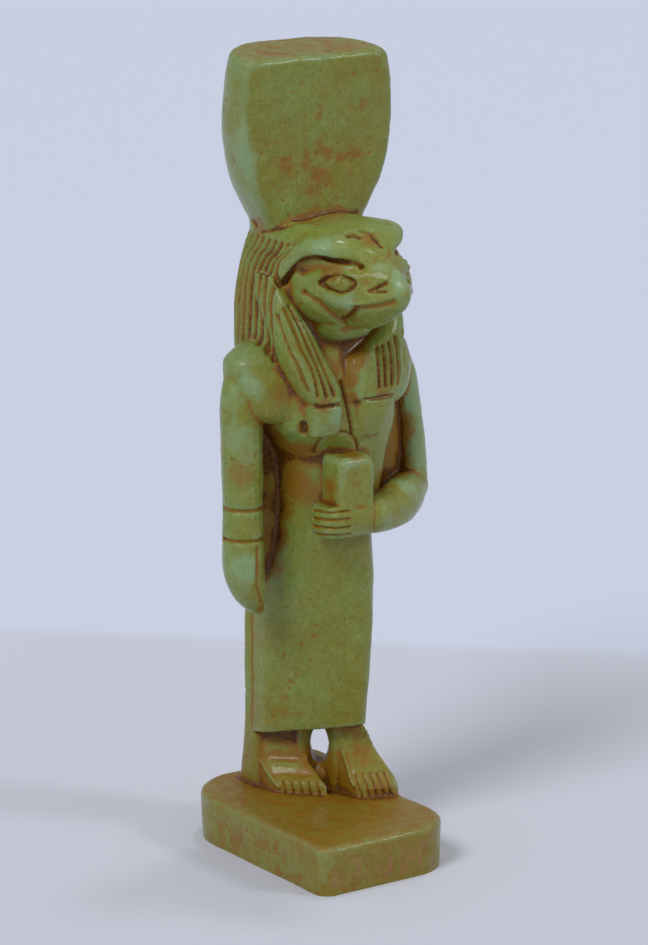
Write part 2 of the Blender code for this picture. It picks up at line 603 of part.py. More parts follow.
# Lines cut in the face, or raised where the depth is negative, with half widths and depths. They are given
# for one side, and the other side's are their mirror image. First the broad dents about the eyes and cheeks.
SOCKET_LINES = (
    (((11.6, -5.0, 127.2), (9.9, -9.6, 128.6), (7.4, -13.8, 128.4), (4.6, -16.4, 128.0)), 1.8, 0.7),
    (((9.6, -10.2, 125.3), (8.2, -13.2, 125.6), (6.8, -15.9, 125.5)), 2.0, 0.5),
    (((5.2, -19.0, 125.6), (3.2, -22.4, 125.2)), 2.0, 0.3),
    (((10.2, -9.4, 121.6), (7.6, -11.2, 118.4), (5.0, -11.4, 116.0)), 2.6, 0.5),
)
FACE_LINES = (
    (
        (
            (12.3, -0.2, 124.4),
            (12.3, -1.6, 126.0),
            (12.0, -4.0, 128.3),
            (11.2, -6.1, 129.7),
            (10.2, -8.1, 130.3),
            (8.8, -10.4, 130.1),
            (6.8, -13.0, 129.5),
            (4.6, -15.4, 129.2),
        ),
        0.9,
        1.2,
    ),
    (
        (
            (9.6, -9.4, 125.2),
            (9.0, -11.4, 126.7),
            (8.1, -13.4, 127.2),
            (7.0, -15.2, 126.7),
            (6.3, -16.9, 125.6),
            (7.2, -16.0, 124.3),
            (8.0, -14.4, 123.8),
            (8.9, -11.8, 124.2),
            (9.6, -9.4, 125.2),
        ),
        0.85,
        1.0,
    ),
    (((7.4, -17.2, 121.7), (6.1, -19.2, 121.9), (4.6, -21.3, 122.4)), 0.7, -0.25),
    (((7.0, -17.2, 120.7), (5.6, -19.4, 120.8), (3.6, -22.0, 121.4), (1.9, -24.0, 122.2)), 1.1, 0.5),
    (((6.0, -17.2, 121.0), (5.3, -13.6, 118.5), (4.8, -10.1, 116.2)), 1.1, 1.1),
    (((11.3, -5.8, 122.8), (9.9, -9.2, 120.4), (7.2, -10.0, 117.8), (4.7, -10.2, 115.9)), 1.5, 0.7),
    (((3.5, -9.3, 114.0), (0.0, -12.0, 114.6)), 1.4, 0.4),
    (((5.1, -19.8, 124.4), (3.8, -20.9, 125.2), (2.8, -22.1, 125.9)), 0.6, 0.6),
    (((5.1, -19.8, 124.2), (4.0, -21.0, 124.2), (3.1, -22.6, 124.4)), 0.5, 0.5),
    (((4.6, -15.4, 129.0), (4.2, -16.0, 128.6)), 0.9, 1.1),
)
FOREHEAD_LINES = (
    (((-3.6, -10.6, 133.4), (-2.5, -10.9, 133.8), (-1.9, -11.5, 133.0)), 1.0, 1.2),
    (((-0.2, -10.2, 134.0), (0.8, -10.6, 134.2), (1.3, -11.3, 133.6), (1.3, -13.1, 132.2)), 1.0, 1.2),
    (((1.3, -12.6, 132.6), (1.4, -14.6, 131.2)), 0.8, 0.7),
)


def face_grooves():
    grooves = []
    for side in (RIGHT, LEFT):
        for line, half, depth in FACE_LINES:
            grooves.append(([place_on_head(x * side, y, z) for x, y, z in line], half, depth))
    for line, half, depth in FOREHEAD_LINES:
        grooves.append(([place(*point) for point in line], half, depth))
    return grooves


def face_hollows():
    """The broad dents about the eyes, under the cheeks and beside the beak's ridge."""
    hollows = []
    for side in (RIGHT, LEFT):
        for line, half, depth in SOCKET_LINES:
            hollows.append(([place_on_head(x * side, y, z) for x, y, z in line], half, depth))
    return hollows


def eyeballs():
    (x, y, z), radius, height = EYEBALL
    return [([place_on_head(x * side, y, z)] * 2, radius, -height) for side in (RIGHT, LEFT)]


FINGER_LINES = (
    ((-9.4, -6.0, 76.2), (-8.6, -10.4, 76.5), (-4.6, -12.7, 76.6)),
    ((-9.6, -6.2, 74.5), (-8.8, -10.8, 74.9), (-4.7, -12.8, 75.0)),
    ((-9.4, -6.2, 72.8), (-8.6, -10.8, 73.2), (-4.6, -12.8, 73.2)),
    ((-8.8, -6.6, 71.3), (-8.2, -10.4, 71.6), (-4.2, -12.2, 71.5)),
)
THUMB_LINE = ((-18.6, 0.6, 68.0), (-18.9, 0.4, 61.0), (-17.0, 1.4, 55.6))
BRACELET_EDGES = (75.9, 69.5)
BRACELET = ((-19.2, 5.0), 4.6)
# The toes: where the outermost groove begins, the step to the next, and how far each runs back and up.
TOES = (
    ((-7.2, 7.2, 11.0), (1.35, -1.25, 0.0), (0.1, 1.2, 2.4), 5),
    ((4.6, -4.4, 11.0), (1.45, -0.58, 0.0), (0.0, 2.4, 3.8), 5),
)


def limb_grooves():
    grooves = [([place(*point) for point in line], 0.5, 0.6) for line in FINGER_LINES]
    grooves.append(([place(*point) for point in THUMB_LINE], 0.8, 0.35))
    (x, y), radius = BRACELET
    for z in BRACELET_EDGES:
        angles = [math.radians(angle) for angle in steps(-200.0, 20.0, 15.0)]
        ring = [place(x + radius * math.cos(angle), y + radius * math.sin(angle), z) for angle in angles]
        grooves.append((ring, 0.8, 0.6))
    for start, step, run, count in TOES:
        for k in range(count):
            first = [start[i] + k * step[i] for i in range(3)]
            last = [first[i] + run[i] for i in range(3)]
            grooves.append(([place(*first), place(*last)], 0.5, 0.45))
    return grooves


# The cuts that part one form from the next, the ridges (of negative depth) and the deepest pits.
JOIN_LINES = (
    (
        (
            (-11.6, 9.0, 132.2),
            (-10.3, 4.1, 133.7),
            (-7.1, 1.6, 134.8),
            (-3.0, 1.1, 135.1),
            (4.9, 2.6, 135.3),
            (9.1, 3.9, 135.2),
        ),
        0.6,
        0.35,
    ),
    (((-11.5, 12.5, 133.8), (-11.4, 11.4, 133.4)), 0.9, 0.9),
    (((-2.8, -9.6, 98.4), (-11.0, -9.0, 98.4)), 0.8, 0.9),
    (((1.6, -9.4, 98.4), (11.2, -8.6, 98.6)), 0.8, 0.9),
    (((-2.8, -8.2, 103.0), (-1.8, -8.4, 98.0), (-0.4, -8.0, 91.0)), 0.8, 0.8),
    (
        (
            (-7.0, -2.8, 87.4),
            (-7.2, -4.6, 89.5),
            (-6.9, -6.6, 91.6),
            (-4.8, -7.4, 92.4),
            (-1.1, -7.0, 91.5),
            (0.8, -7.1, 89.5),
            (1.6, -7.2, 87.5),
        ),
        0.7,
        0.5,
    ),
    (((-10.6, -4.8, 94.4), (-10.4, -4.4, 92.4)), 1.1, 0.9),
    (((-8.4, 14.8, 15.9), (-7.9, 12.0, 13.8), (-7.7, 8.6, 11.8)), 0.6, -0.6),
    (((4.0, 1.8, 19.3), (4.0, -0.8, 15.2), (3.8, -2.6, 13.0)), 0.6, -0.6),
)


def join_grooves():
    return [([place(*point) for point in line], half, depth) for line, half, depth in JOIN_LINES]


def material():
    """The plain colour of the solid."""
    glaze = bpy.data.materials.new("glazed_stone")
    glaze.use_nodes = True
    shader = glaze.node_tree.nodes["Principled BSDF"]
    shader.inputs["Base Color"].default_value = COLOUR
    shader.inputs["Roughness"].default_value = ROUGHNESS
    shader.inputs["Metallic"].default_value = 0.0
    return glaze


def ground_cutter():
    """Everything below the underside."""
    bm = bmesh.new()
    bmesh.ops.create_cube(bm, size=1.0)
    size = 2 * max(PLINTH_WIDTH, PLINTH_DEPTH)
    bmesh.ops.scale(bm, vec=(size, size, size), verts=bm.verts)
    bmesh.ops.translate(bm, vec=(0.0, 0.0, -size / 2), verts=bm.verts)
    return new_form("ground", bm)


for old in list(bpy.data.objects):
    bpy.data.objects.remove(old)

forms = bpy.data.collections.new("forms")
model = bpy.data.collections.new("horus_statue")
for group in (forms, model):
    bpy.context.scene.collection.children.link(group)

build_plinth()
build_body()
build_arms()
build_head()
bpy.context.view_layer.update()
mesh = fuse("horus_statue", ball("leg_gap", *LEG_GAP))
carve(mesh, face_hollows())
carve(mesh, wig_grooves() + face_grooves() + limb_grooves() + join_grooves())
carve(mesh, eyeballs())

statue = bpy.data.objects.new("horus_statue", mesh)
statue.data.materials.clear()
statue.data.materials.append(material())
model.objects.link(statue)
thin = statue.modifiers.new("thin", "DECIMATE")
thin.ratio = SOLID_TRIANGLES / (2 * len(mesh.polygons))
flat = statue.modifiers.new("underside", "BOOLEAN")
flat.solver = "EXACT"
flat.object = ground_cutter()
mesh.shade_smooth()
mesh.set_sharp_from_angle(angle=math.radians(40))
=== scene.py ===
"""Looks of the horus statuette: the carved figure with its fine relief and old glaze, on a pale table.

Metres, in the part's frame: +Z up, the figure faces -Y and its own left side is +X. The forms are the
part's own, fused at a finer pitch, so the visual piece keeps the solid's shape and carries the finer
carving.
"""

import json
import math

import bmesh
import bpy
import numpy as np
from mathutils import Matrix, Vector, noise
from mathutils.bvhtree import BVHTree

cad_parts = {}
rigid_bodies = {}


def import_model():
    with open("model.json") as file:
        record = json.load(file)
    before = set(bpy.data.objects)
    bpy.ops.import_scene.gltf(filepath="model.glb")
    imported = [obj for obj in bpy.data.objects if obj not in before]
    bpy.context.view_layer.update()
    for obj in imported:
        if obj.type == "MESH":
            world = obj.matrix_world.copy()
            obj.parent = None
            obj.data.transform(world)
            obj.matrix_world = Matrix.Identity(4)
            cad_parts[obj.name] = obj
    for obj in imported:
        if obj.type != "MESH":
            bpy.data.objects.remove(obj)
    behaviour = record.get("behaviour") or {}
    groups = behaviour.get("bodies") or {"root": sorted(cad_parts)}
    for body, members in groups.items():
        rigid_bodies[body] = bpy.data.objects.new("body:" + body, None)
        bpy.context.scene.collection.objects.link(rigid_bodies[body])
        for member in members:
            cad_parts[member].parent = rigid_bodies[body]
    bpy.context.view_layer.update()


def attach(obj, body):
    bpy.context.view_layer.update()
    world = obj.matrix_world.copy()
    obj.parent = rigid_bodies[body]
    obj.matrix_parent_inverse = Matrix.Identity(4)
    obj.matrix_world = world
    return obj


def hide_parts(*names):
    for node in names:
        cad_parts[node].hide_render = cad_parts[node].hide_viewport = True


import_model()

# The plinth, in metres.
PLINTH_WIDTH = 0.0350
PLINTH_DEPTH = 0.0546
PLINTH_HEIGHT = 0.0105
# Its corners' radii: front right, front left, back left and back right of the figure.
PLINTH_CORNERS = (0.0030, 0.0100, 0.0100, 0.0130)
PLINTH_EDGE = 0.0014
PLINTH_UNDERCUT = 0.0004
CORNER_FACES = 10  # around each rounded corner
EDGE_FACES = 6
NEAR_ENOUGH = 1e-6
PLINTH_SPARE = 0.0020  # how far the rough block reaches below the underside before it is cut flat

# The figure, in metres.
FIGURE_HEIGHT = 0.1595
FIGURE_X = 0.0040  # its middle line stands to the left of the plinth's

# The figure's grid.
GRID_HEIGHT = 159.5
UNIT = FIGURE_HEIGHT / GRID_HEIGHT
GROUND = 10.5
SINK = 3.0  # how far the figure's forms reach below the plinth's top
HEAD_TILT = 0.08  # the head leans: its left side is higher by this share of x

# The fused solid.
VOXEL = 0.00030
SOFTENING = 3

RIGHT, LEFT = -1, 1

# Upright forms. Each row is a section: z, middle x, half width, y where it is widest, front y, back y, and
# how square it is in front and at the back (2 is an ellipse). The body's rows go on with the slant of its
# front, which follows the advanced left leg, and how square its right front is.
BODY = (
    (25.5, 0.0, 9.2, 13.0, 2.0, 18.5, 3.2, 5.0, -0.95, 2.0),
    (34.0, 0.1, 9.3, 12.6, 0.6, 18.5, 3.1, 5.0, -0.90, 2.0),
    (46.0, 0.3, 9.6, 12.0, -1.6, 18.5, 3.0, 5.0, -0.72, 2.1),
    (60.0, 0.3, 9.7, 11.0, -4.6, 18.3, 2.9, 5.0, -0.42, 2.1),
    (70.0, 0.2, 9.5, 9.5, -5.8, 17.5, 2.8, 5.0, -0.12, 2.0),
    (78.0, 0.8, 10.1, 8.6, -5.8, 17.0, 4.0, 5.0, 0.0, 1.8),
    (85.0, 1.1, 10.8, 8.0, -6.2, 17.0, 4.6, 4.4, 0.0, 1.8),
    (89.0, 0.7, 12.3, 7.4, -7.0, 16.8, 4.2, 4.0, 0.0, 2.2),
    (93.5, 0.2, 14.4, 7.0, -7.8, 16.5, 3.4, 4.0, 0.0, 3.0),
    (101.0, 0.0, 15.8, 6.5, -7.2, 16.0, 2.8, 3.5, 0.0, 3.0),
    (106.5, 0.0, 16.0, 6.5, -5.6, 15.5, 2.6, 3.2, 0.0, 2.6),
    (111.0, 0.0, 12.5, 6.5, -4.0, 15.0, 2.5, 3.0, 0.0, 2.5),
)
HEM_SLOPE = 0.19  # the hem drops towards the back by this share of y
HEM_REACH = 12.0  # and is level again this high above it
PILLAR = (
    (GROUND - SINK, -2.6, 6.6, 18.5, 14.0, 23.4, 5.0, 5.0),
    (16.0, -2.4, 6.6, 18.5, 15.0, 22.2, 5.0, 5.0),
    (23.0, -1.6, 7.4, 18.5, 16.0, 21.2, 5.0, 5.0),
    (26.5, 0.0, 9.1, 18.5, 16.4, 20.8, 5.0, 5.0),
    (60.0, 0.0, 9.3, 18.5, 16.4, 20.3, 5.0, 5.0),
    (108.0, 0.0, 9.3, 18.5, 14.0, 20.3, 5.0, 5.0),
)
RIGHT_WEB = (
    (57.0, -10.5, 3.0, 12.5, 11.5, 13.5, 2.2, 2.2),
    (61.0, -11.0, 6.5, 12.0, 10.0, 13.5, 2.6, 3.0),
    (66.0, -11.5, 8.0, 11.0, 8.0, 13.0, 3.0, 4.0),
    (71.0, -12.0, 8.0, 10.2, 6.8, 12.8, 3.6, 4.0),
    (80.0, -12.0, 8.0, 9.5, 6.6, 13.0, 4.0, 4.0),
    (88.0, -12.0, 8.0, 9.5, 7.0, 13.0, 4.0, 4.0),
    (103.0, -11.0, 8.0, 9.5, 6.0, 13.5, 4.0, 4.0),
)
LEFT_WEB = (
    (73.0, 12.0, 7.4, 6.0, 1.6, 11.0, 3.0, 3.0),
    (78.0, 12.0, 8.0, 7.0, 1.2, 12.0, 4.0, 4.0),
    (90.0, 12.0, 8.0, 7.5, 2.0, 13.0, 4.0, 4.0),
    (103.0, 11.0, 8.0, 9.5, 4.0, 13.5, 4.0, 4.0),
)
SHOULDERS = (
    (92.8, 0.0, 13.0, 5.0, -1.6, 12.4, 2.5, 2.5),
    (94.4, 0.0, 18.0, 5.0, -4.0, 13.0, 2.4, 2.6),
    (97.0, 0.0, 20.8, 5.0, -5.0, 13.5, 2.4, 2.6),
    (102.0, 0.0, 22.2, 5.4, -4.8, 13.8, 2.4, 2.5),
    (106.0, -0.3, 22.2, 5.8, -2.8, 13.2, 2.3, 2.5),
    (109.0, -0.4, 19.2, 6.0, -1.2, 12.4, 2.3, 2.5),
    (110.6, -0.3, 15.2, 6.0, 0.6, 11.5, 2.2, 2.5),
)
# Stone left standing behind the advanced foot, and between the legs.
HEEL_WEB = (
    (GROUND - SINK, 5.4, 4.4, 13.0, 6.0, 20.5, 4.0, 4.0),
    (13.4, 5.4, 4.2, 13.0, 6.0, 20.3, 4.0, 4.0),
    (14.8, 5.3, 3.2, 13.0, 6.5, 19.4, 3.0, 3.0),
)
LEG_PLATE = (
    (GROUND - SINK, 1.6, 3.8, 11.0, 8.8, 14.5, 4.0, 4.0),
    (27.5, 1.6, 3.8, 11.0, 8.8, 14.5, 4.0, 4.0),
)
WIG = (
    (103.5, 0.0, 14.6, 8.0, -3.0, 20.3, 3.6, 3.2),
    (108.0, 0.0, 15.0, 8.0, -3.6, 20.6, 4.2, 3.2),
    (114.0, 0.0, 14.8, 8.5, -4.0, 20.7, 4.6, 3.2),
    (120.0, 0.0, 14.4, 9.0, -3.6, 20.6, 4.6, 3.1),
    (125.0, 0.0, 13.6, 8.5, -3.0, 20.3, 4.2, 3.0),
    (128.0, 0.0, 12.9, 7.5, -6.0, 20.0, 3.0, 3.0),
    (130.5, 0.0, 12.2, 6.5, -11.0, 19.8, 2.5, 3.0),
    (133.0, 0.0, 10.8, 6.0, -11.0, 19.2, 2.3, 3.0),
    (134.8, 0.0, 8.6, 6.0, -8.0, 18.0, 2.2, 3.0),
)
CROWN = (
    (130.0, 0.0, 11.4, 7.6, 3.2, 19.6, 2.8, 2.8),
    (133.5, 0.0, 11.6, 7.4, 3.2, 19.9, 2.9, 2.8),
    (136.5, 0.0, 13.2, 7.2, 3.8, 20.3, 3.6, 2.9),
    (142.0, 0.2, 16.3, 7.0, 4.6, 20.8, 4.6, 3.0),
    (148.5, 0.3, 18.1, 6.9, 5.0, 21.0, 5.6, 3.0),
    (155.5, 0.3, 18.8, 6.8, 5.0, 21.2, 6.0, 3.0),
    (162.0, 0.2, 18.5, 6.8, 4.8, 20.8, 6.0, 2.9),
    (167.5, 0.1, 17.7, 6.8, 4.8, 19.8, 6.0, 2.8),
    (168.7, 0.0, 17.3, 6.8, 4.9, 19.4, 5.5, 2.8),
    (169.3, 0.0, 16.6, 7.2, 5.5, 18.6, 4.5, 2.8),
)
CROWN_LEVEL = 158.0  # where the crown's sections begin to tilt
CROWN_RISE = 0.13  # how steeply its top rises, about CROWN_MIDDLE
CROWN_MIDDLE = 12.0
# The strands of the wig that hang on the chest, and the plain ends below their cut.
RIGHT_LAPPET = (
    (98.6, -7.0, 4.0, -3.6, -9.6, 0.0, 4.0, 3.0),
    (102.6, -8.6, 4.7, -3.6, -9.7, 0.0, 3.6, 3.0),
    (107.0, -10.3, 4.4, -3.0, -9.2, 1.0, 3.2, 3.0),
    (112.4, -11.8, 3.5, -2.0, -7.8, 3.0, 2.8, 3.0),
    (117.0, -13.0, 2.7, 0.0, -5.2, 5.5, 2.6, 3.0),
    (121.0, -13.7, 1.8, 2.0, -2.2, 7.5, 2.5, 3.0),
    (124.5, -13.6, 1.2, 3.4, 0.8, 8.0, 2.5, 3.0),
)
RIGHT_LAPPET_END = (
    (91.8, -6.6, 3.6, -3.6, -8.2, 0.0, 4.0, 3.0),
    (95.0, -6.8, 4.1, -3.6, -9.1, 0.0, 4.0, 3.0),
    (98.2, -7.0, 4.2, -3.6, -9.4, 0.0, 4.0, 3.0),
)
LEFT_LAPPET = (
    (98.6, 5.2, 6.2, -3.6, -9.4, 0.0, 4.0, 3.0),
    (103.0, 5.6, 7.4, -3.6, -9.4, 0.0, 3.8, 3.0),
    (106.8, 6.4, 7.2, -3.2, -8.9, 0.6, 3.4, 3.0),
    (109.5, 9.2, 4.8, -2.6, -8.2, 1.6, 3.0, 3.0),
    (114.0, 11.6, 3.2, -1.0, -6.4, 4.0, 2.8, 3.0),
    (118.0, 12.4, 2.5, 1.0, -3.6, 6.0, 2.5, 3.0),
    (123.0, 13.0, 1.4, 3.0, 0.4, 8.0, 2.5, 3.0),
)
LEFT_LAPPET_END = (
    (90.6, 4.1, 3.8, -3.6, -7.8, 0.0, 4.0, 3.0),
    (94.0, 4.6, 4.4, -3.6, -8.8, 0.0, 4.0, 3.0),
    (98.2, 5.4, 5.2, -3.6, -9.2, 0.0, 4.0, 3.0),
)
HELD_BLOCK = (
    (73.0, -2.1, 4.3, -8.0, -12.4, -4.0, 7.0, 4.0),
    (85.4, -2.1, 4.4, -8.0, -12.2, -4.0, 7.0, 4.0),
    (86.8, -2.1, 4.2, -8.0, -11.8, -4.0, 6.0, 4.0),
    (87.4, -2.1, 3.6, -8.0, -11.2, -4.5, 5.0, 4.0),
)
LEFT_HAND = (
    (70.2, -1.8, 6.2, -6.6, -10.6, -3.0, 3.4, 2.6),
    (71.0, -2.0, 7.0, -6.6, -11.8, -3.0, 3.6, 2.6),
    (74.0, -2.2, 7.4, -6.6, -12.8, -3.0, 3.6, 2.6),
    (76.2, -2.1, 7.2, -6.6, -12.6, -3.0, 3.6, 2.6),
    (77.2, -1.9, 6.6, -6.6, -11.8, -3.0, 3.4, 2.6),
)

# Forms that lie from front to back. Each row: y, middle x, half width, z where it is widest, lowest z,
# highest z, and how square it is below and above.
FACE = (
    (-25.9, 0.0, 0.7, 123.4, 121.8, 124.7, 2.0, 1.5),
    (-25.0, 0.0, 1.7, 123.4, 120.4, 125.9, 1.6, 1.4),
    (-23.4, 0.0, 3.1, 122.9, 119.2, 127.3, 1.5, 1.35),
    (-21.0, 0.0, 4.9, 122.2, 117.6, 128.7, 1.4, 1.5),
    (-17.9, 0.0, 7.1, 121.7, 115.9, 129.6, 1.25, 2.3),
    (-15.6, 0.0, 8.6, 121.6, 115.0, 130.2, 1.2, 3.0),
    (-13.5, 0.0, 9.3, 121.8, 114.4, 130.8, 1.25, 3.4),
    (-11.2, 0.0, 9.9, 122.0, 113.9, 131.4, 1.3, 3.8),
    (-8.0, 0.0, 10.8, 122.3, 113.2, 132.0, 1.5, 3.8),
    (-5.0, 0.0, 11.5, 122.6, 112.8, 132.6, 1.8, 3.4),
    (2.0, 0.0, 12.2, 121.5, 112.4, 133.0, 2.1, 3.0),
    (9.0, 0.0, 10.0, 120.0, 112.4, 132.0, 2.2, 2.6),
)
THROAT = (
    (110.8, 0.0, 4.8, -2.0, -6.2, 4.0, 2.2, 3.0),
    (112.0, 0.0, 6.4, -2.0, -8.8, 4.0, 2.0, 3.0),
    (114.0, 0.0, 7.6, -2.0, -10.4, 4.0, 1.9, 3.0),
    (117.0, 0.0, 8.6, -2.0, -11.2, 4.0, 1.9, 3.0),
)
# The cap over the eyes, whose rim is the brows.
BROWS = (
    (-17.4, 0.0, 0.8, 129.4, 128.6, 130.2, 2.0, 2.0),
    (-15.8, 0.0, 3.5, 129.9, 128.8, 131.1, 2.4, 2.0),
    (-13.9, 0.0, 6.5, 130.6, 129.2, 132.3, 3.0, 2.2),
    (-12.0, 0.0, 9.1, 131.4, 129.7, 133.6, 3.2, 2.4),
    (-9.8, 0.0, 10.7, 131.9, 130.2, 134.6, 3.2, 2.5),
    (-6.5, 0.0, 12.3, 131.4, 129.6, 135.2, 3.2, 2.4),
    (-4.7, 0.0, 12.9, 130.0, 128.1, 135.4, 3.2, 2.4),
    (-2.3, 0.0, 13.4, 127.7, 125.6, 135.5, 3.2, 2.4),
    (-0.8, 0.0, 13.7, 126.2, 124.0, 135.5, 3.0, 2.4),
    (2.0, 0.0, 13.8, 124.5, 121.6, 135.4, 3.0, 2.4),
    (8.0, 0.0, 13.3, 123.0, 119.0, 135.0, 3.0, 2.4),
)
# The feet's rows are turned: their sides stand before or behind the middle by FOOT_SLANTS of x.
RIGHT_FOOT = (
    (4.6, -4.2, 3.2, GROUND, GROUND - SINK, 12.1, 3.0, 4.0),
    (5.2, -4.2, 3.9, GROUND, GROUND - SINK, 13.2, 3.0, 5.0),
    (7.4, -4.2, 4.1, GROUND, GROUND - SINK, 14.0, 3.0, 6.0),
    (9.0, -4.2, 4.0, GROUND, GROUND - SINK, 15.6, 3.0, 6.0),
    (11.4, -4.2, 3.9, GROUND, GROUND - SINK, 17.2, 3.0, 6.0),
    (12.0, -4.2, 3.9, GROUND, GROUND - SINK, 19.0, 3.0, 6.0),
    (13.3, -4.2, 3.9, GROUND, GROUND - SINK, 21.4, 3.0, 6.0),
    (13.9, -4.2, 3.9, GROUND, GROUND - SINK, 27.5, 3.0, 6.0),
    (17.6, -4.2, 4.0, GROUND, GROUND - SINK, 27.5, 3.0, 5.0),
)
LEFT_FOOT = (
    (-6.0, 8.0, 3.4, GROUND + 0.6, GROUND - SINK, 12.4, 3.0, 4.0),
    (-5.2, 8.1, 4.3, GROUND + 0.6, GROUND - SINK, 13.8, 3.0, 5.0),
    (-3.6, 8.1, 4.4, GROUND, GROUND - SINK, 15.4, 3.0, 6.0),
    (-2.0, 7.9, 4.2, GROUND, GROUND - SINK, 17.2, 3.0, 6.0),
    (-0.6, 7.6, 3.9, GROUND, GROUND - SINK, 19.0, 3.0, 6.0),
    (0.6, 7.2, 3.6, GROUND, GROUND - SINK, 21.2, 3.0, 6.0),
    (1.6, 6.9, 3.3, GROUND, GROUND - SINK, 24.0, 3.0, 6.0),
    (2.4, 6.0, 3.0, GROUND, GROUND - SINK, 27.2, 3.0, 6.0),
    (9.6, 5.8, 3.0, GROUND, GROUND - SINK, 27.2, 4.0, 6.0),
)
FOOT_SLANTS = (-1.0, -0.4)
# What is left open under the hem, between the advanced left leg and the pillar.
LEG_GAP = ((2.7, 8.6, 19.4), (2.0, 16.0, 4.2), (0.0, 0.0, -34.0))

# Round forms. Each row: x, y, z and radius.
RIGHT_ARM = (
    (-17.2, 6.0, 105.6, 3.6),
    (-19.2, 5.4, 101.0, 4.7),
    (-19.4, 5.0, 92.0, 4.5),
    (-19.3, 5.0, 82.0, 4.4),
    (-19.2, 5.0, 74.0, 4.2),
    (-19.4, 4.8, 66.0, 4.6),
    (-19.2, 4.4, 61.0, 4.4),
    (-17.6, 4.2, 56.0, 3.2),
    (-15.6, 4.6, 53.4, 1.2),
)
LEFT_UPPER_ARM = (
    (17.6, 6.0, 105.6, 3.4),
    (20.8, 5.0, 101.0, 3.5),
    (22.0, 3.5, 92.0, 2.8),
    (22.4, 2.0, 82.0, 2.7),
    (21.0, 1.0, 75.6, 3.7),
)
LEFT_FOREARM = (
    (20.9, 1.2, 75.6, 3.7),
    (15.0, -3.6, 74.4, 4.9),
    (9.5, -7.6, 73.7, 4.3),
    (4.0, -9.4, 74.0, 4.0),
)

GROOVE_STEP = 0.4  # between the points of a groove's line

# The eyeball: a dome on the surface, with its middle, radius and height.
EYEBALL = ((8.0, -13.6, 125.5), 1.5, 0.9)

# The wig's strands: half width and depth of a groove, how many there are, and where they run.
STRAND = (1.0, 0.85)
LAPPET_STRAND = (0.8, 0.75)
STRANDS_AROUND = 42
STRANDS_EACH_SIDE = 14
STRAND_HEIGHTS = (107.0, 131.0)
STRAND_STEP = 1.5
SECTION_POINTS = 240  # of the outline along which the strands are counted

RIGHT_LAPPET_LINES = (
    ((-15.0, -2.2, 117.0), (-14.4, -5.3, 110.4), (-13.7, -7.9, 106.0), (-12.4, -8.6, 102.0)),
    ((-14.3, -3.2, 118.4), (-13.5, -7.5, 111.7), (-11.3, -8.5, 106.3), (-10.2, -9.2, 101.0)),
    ((-13.3, -3.6, 119.0), (-11.8, -8.0, 111.6), (-10.0, -9.2, 106.4), (-8.2, -9.7, 100.6)),
    ((-11.6, -5.4, 116.0), (-10.4, -7.5, 111.3), (-8.6, -8.7, 106.1), (-6.3, -9.4, 100.7)),
)
LEFT_LAPPET_LINES = (
    ((5.2, -8.4, 109.4), (5.3, -9.3, 105.0), (5.3, -9.4, 101.0)),
    ((6.8, -8.4, 109.4), (6.9, -9.3, 105.0), (6.9, -9.4, 101.0)),
    ((8.4, -8.4, 109.8), (8.6, -9.2, 105.0), (8.6, -9.2, 101.0)),
    ((10.2, -7.6, 110.4), (10.4, -8.6, 105.0), (10.4, -8.8, 101.0)),
    ((12.0, -6.0, 111.0), (12.1, -7.4, 105.0), (11.8, -7.8, 101.0)),
)

# Lines cut in the face, or raised where the depth is negative, with half widths and depths. They are given
# for one side, and the other side's are their mirror image. First the broad dents about the eyes and cheeks.
SOCKET_LINES = (
    (((11.6, -5.0, 127.2), (9.9, -9.6, 128.6), (7.4, -13.8, 128.4), (4.6, -16.4, 128.0)), 1.8, 0.7),
    (((9.6, -10.2, 125.3), (8.2, -13.2, 125.6), (6.8, -15.9, 125.5)), 2.0, 0.5),
    (((5.2, -19.0, 125.6), (3.2, -22.4, 125.2)), 2.0, 0.3),
    (((10.2, -9.4, 121.6), (7.6, -11.2, 118.4), (5.0, -11.4, 116.0)), 2.6, 0.5),
)
FACE_LINES = (
    (
        (
            (12.3, -0.2, 124.4),
            (12.3, -1.6, 126.0),
            (12.0, -4.0, 128.3),
            (11.2, -6.1, 129.7),
            (10.2, -8.1, 130.3),
            (8.8, -10.4, 130.1),
            (6.8, -13.0, 129.5),
            (4.6, -15.4, 129.2),
        ),
        0.9,
        1.2,
    ),
    (
        (
            (9.6, -9.4, 125.2),
            (9.0, -11.4, 126.7),
            (8.1, -13.4, 127.2),
            (7.0, -15.2, 126.7),
            (6.3, -16.9, 125.6),
            (7.2, -16.0, 124.3),
            (8.0, -14.4, 123.8),
            (8.9, -11.8, 124.2),
            (9.6, -9.4, 125.2),
        ),
        0.85,
        1.0,
    ),
    (((7.4, -17.2, 121.7), (6.1, -19.2, 121.9), (4.6, -21.3, 122.4)), 0.7, -0.25),
    (((7.0, -17.2, 120.7), (5.6, -19.4, 120.8), (3.6, -22.0, 121.4), (1.9, -24.0, 122.2)), 1.1, 0.5),
    (((6.0, -17.2, 121.0), (5.3, -13.6, 118.5), (4.8, -10.1, 116.2)), 1.1, 1.1),
    (((11.3, -5.8, 122.8), (9.9, -9.2, 120.4), (7.2, -10.0, 117.8), (4.7, -10.2, 115.9)), 1.5, 0.7),
    (((3.5, -9.3, 114.0), (0.0, -12.0, 114.6)), 1.4, 0.4),
    (((5.1, -19.8, 124.4), (3.8, -20.9, 125.2), (2.8, -22.1, 125.9)), 0.6, 0.6),
    (((5.1, -19.8, 124.2), (4.0, -21.0, 124.2), (3.1, -22.6, 124.4)), 0.5, 0.5),
    (((4.6, -15.4, 129.0), (4.2, -16.0, 128.6)), 0.9, 1.1),
)
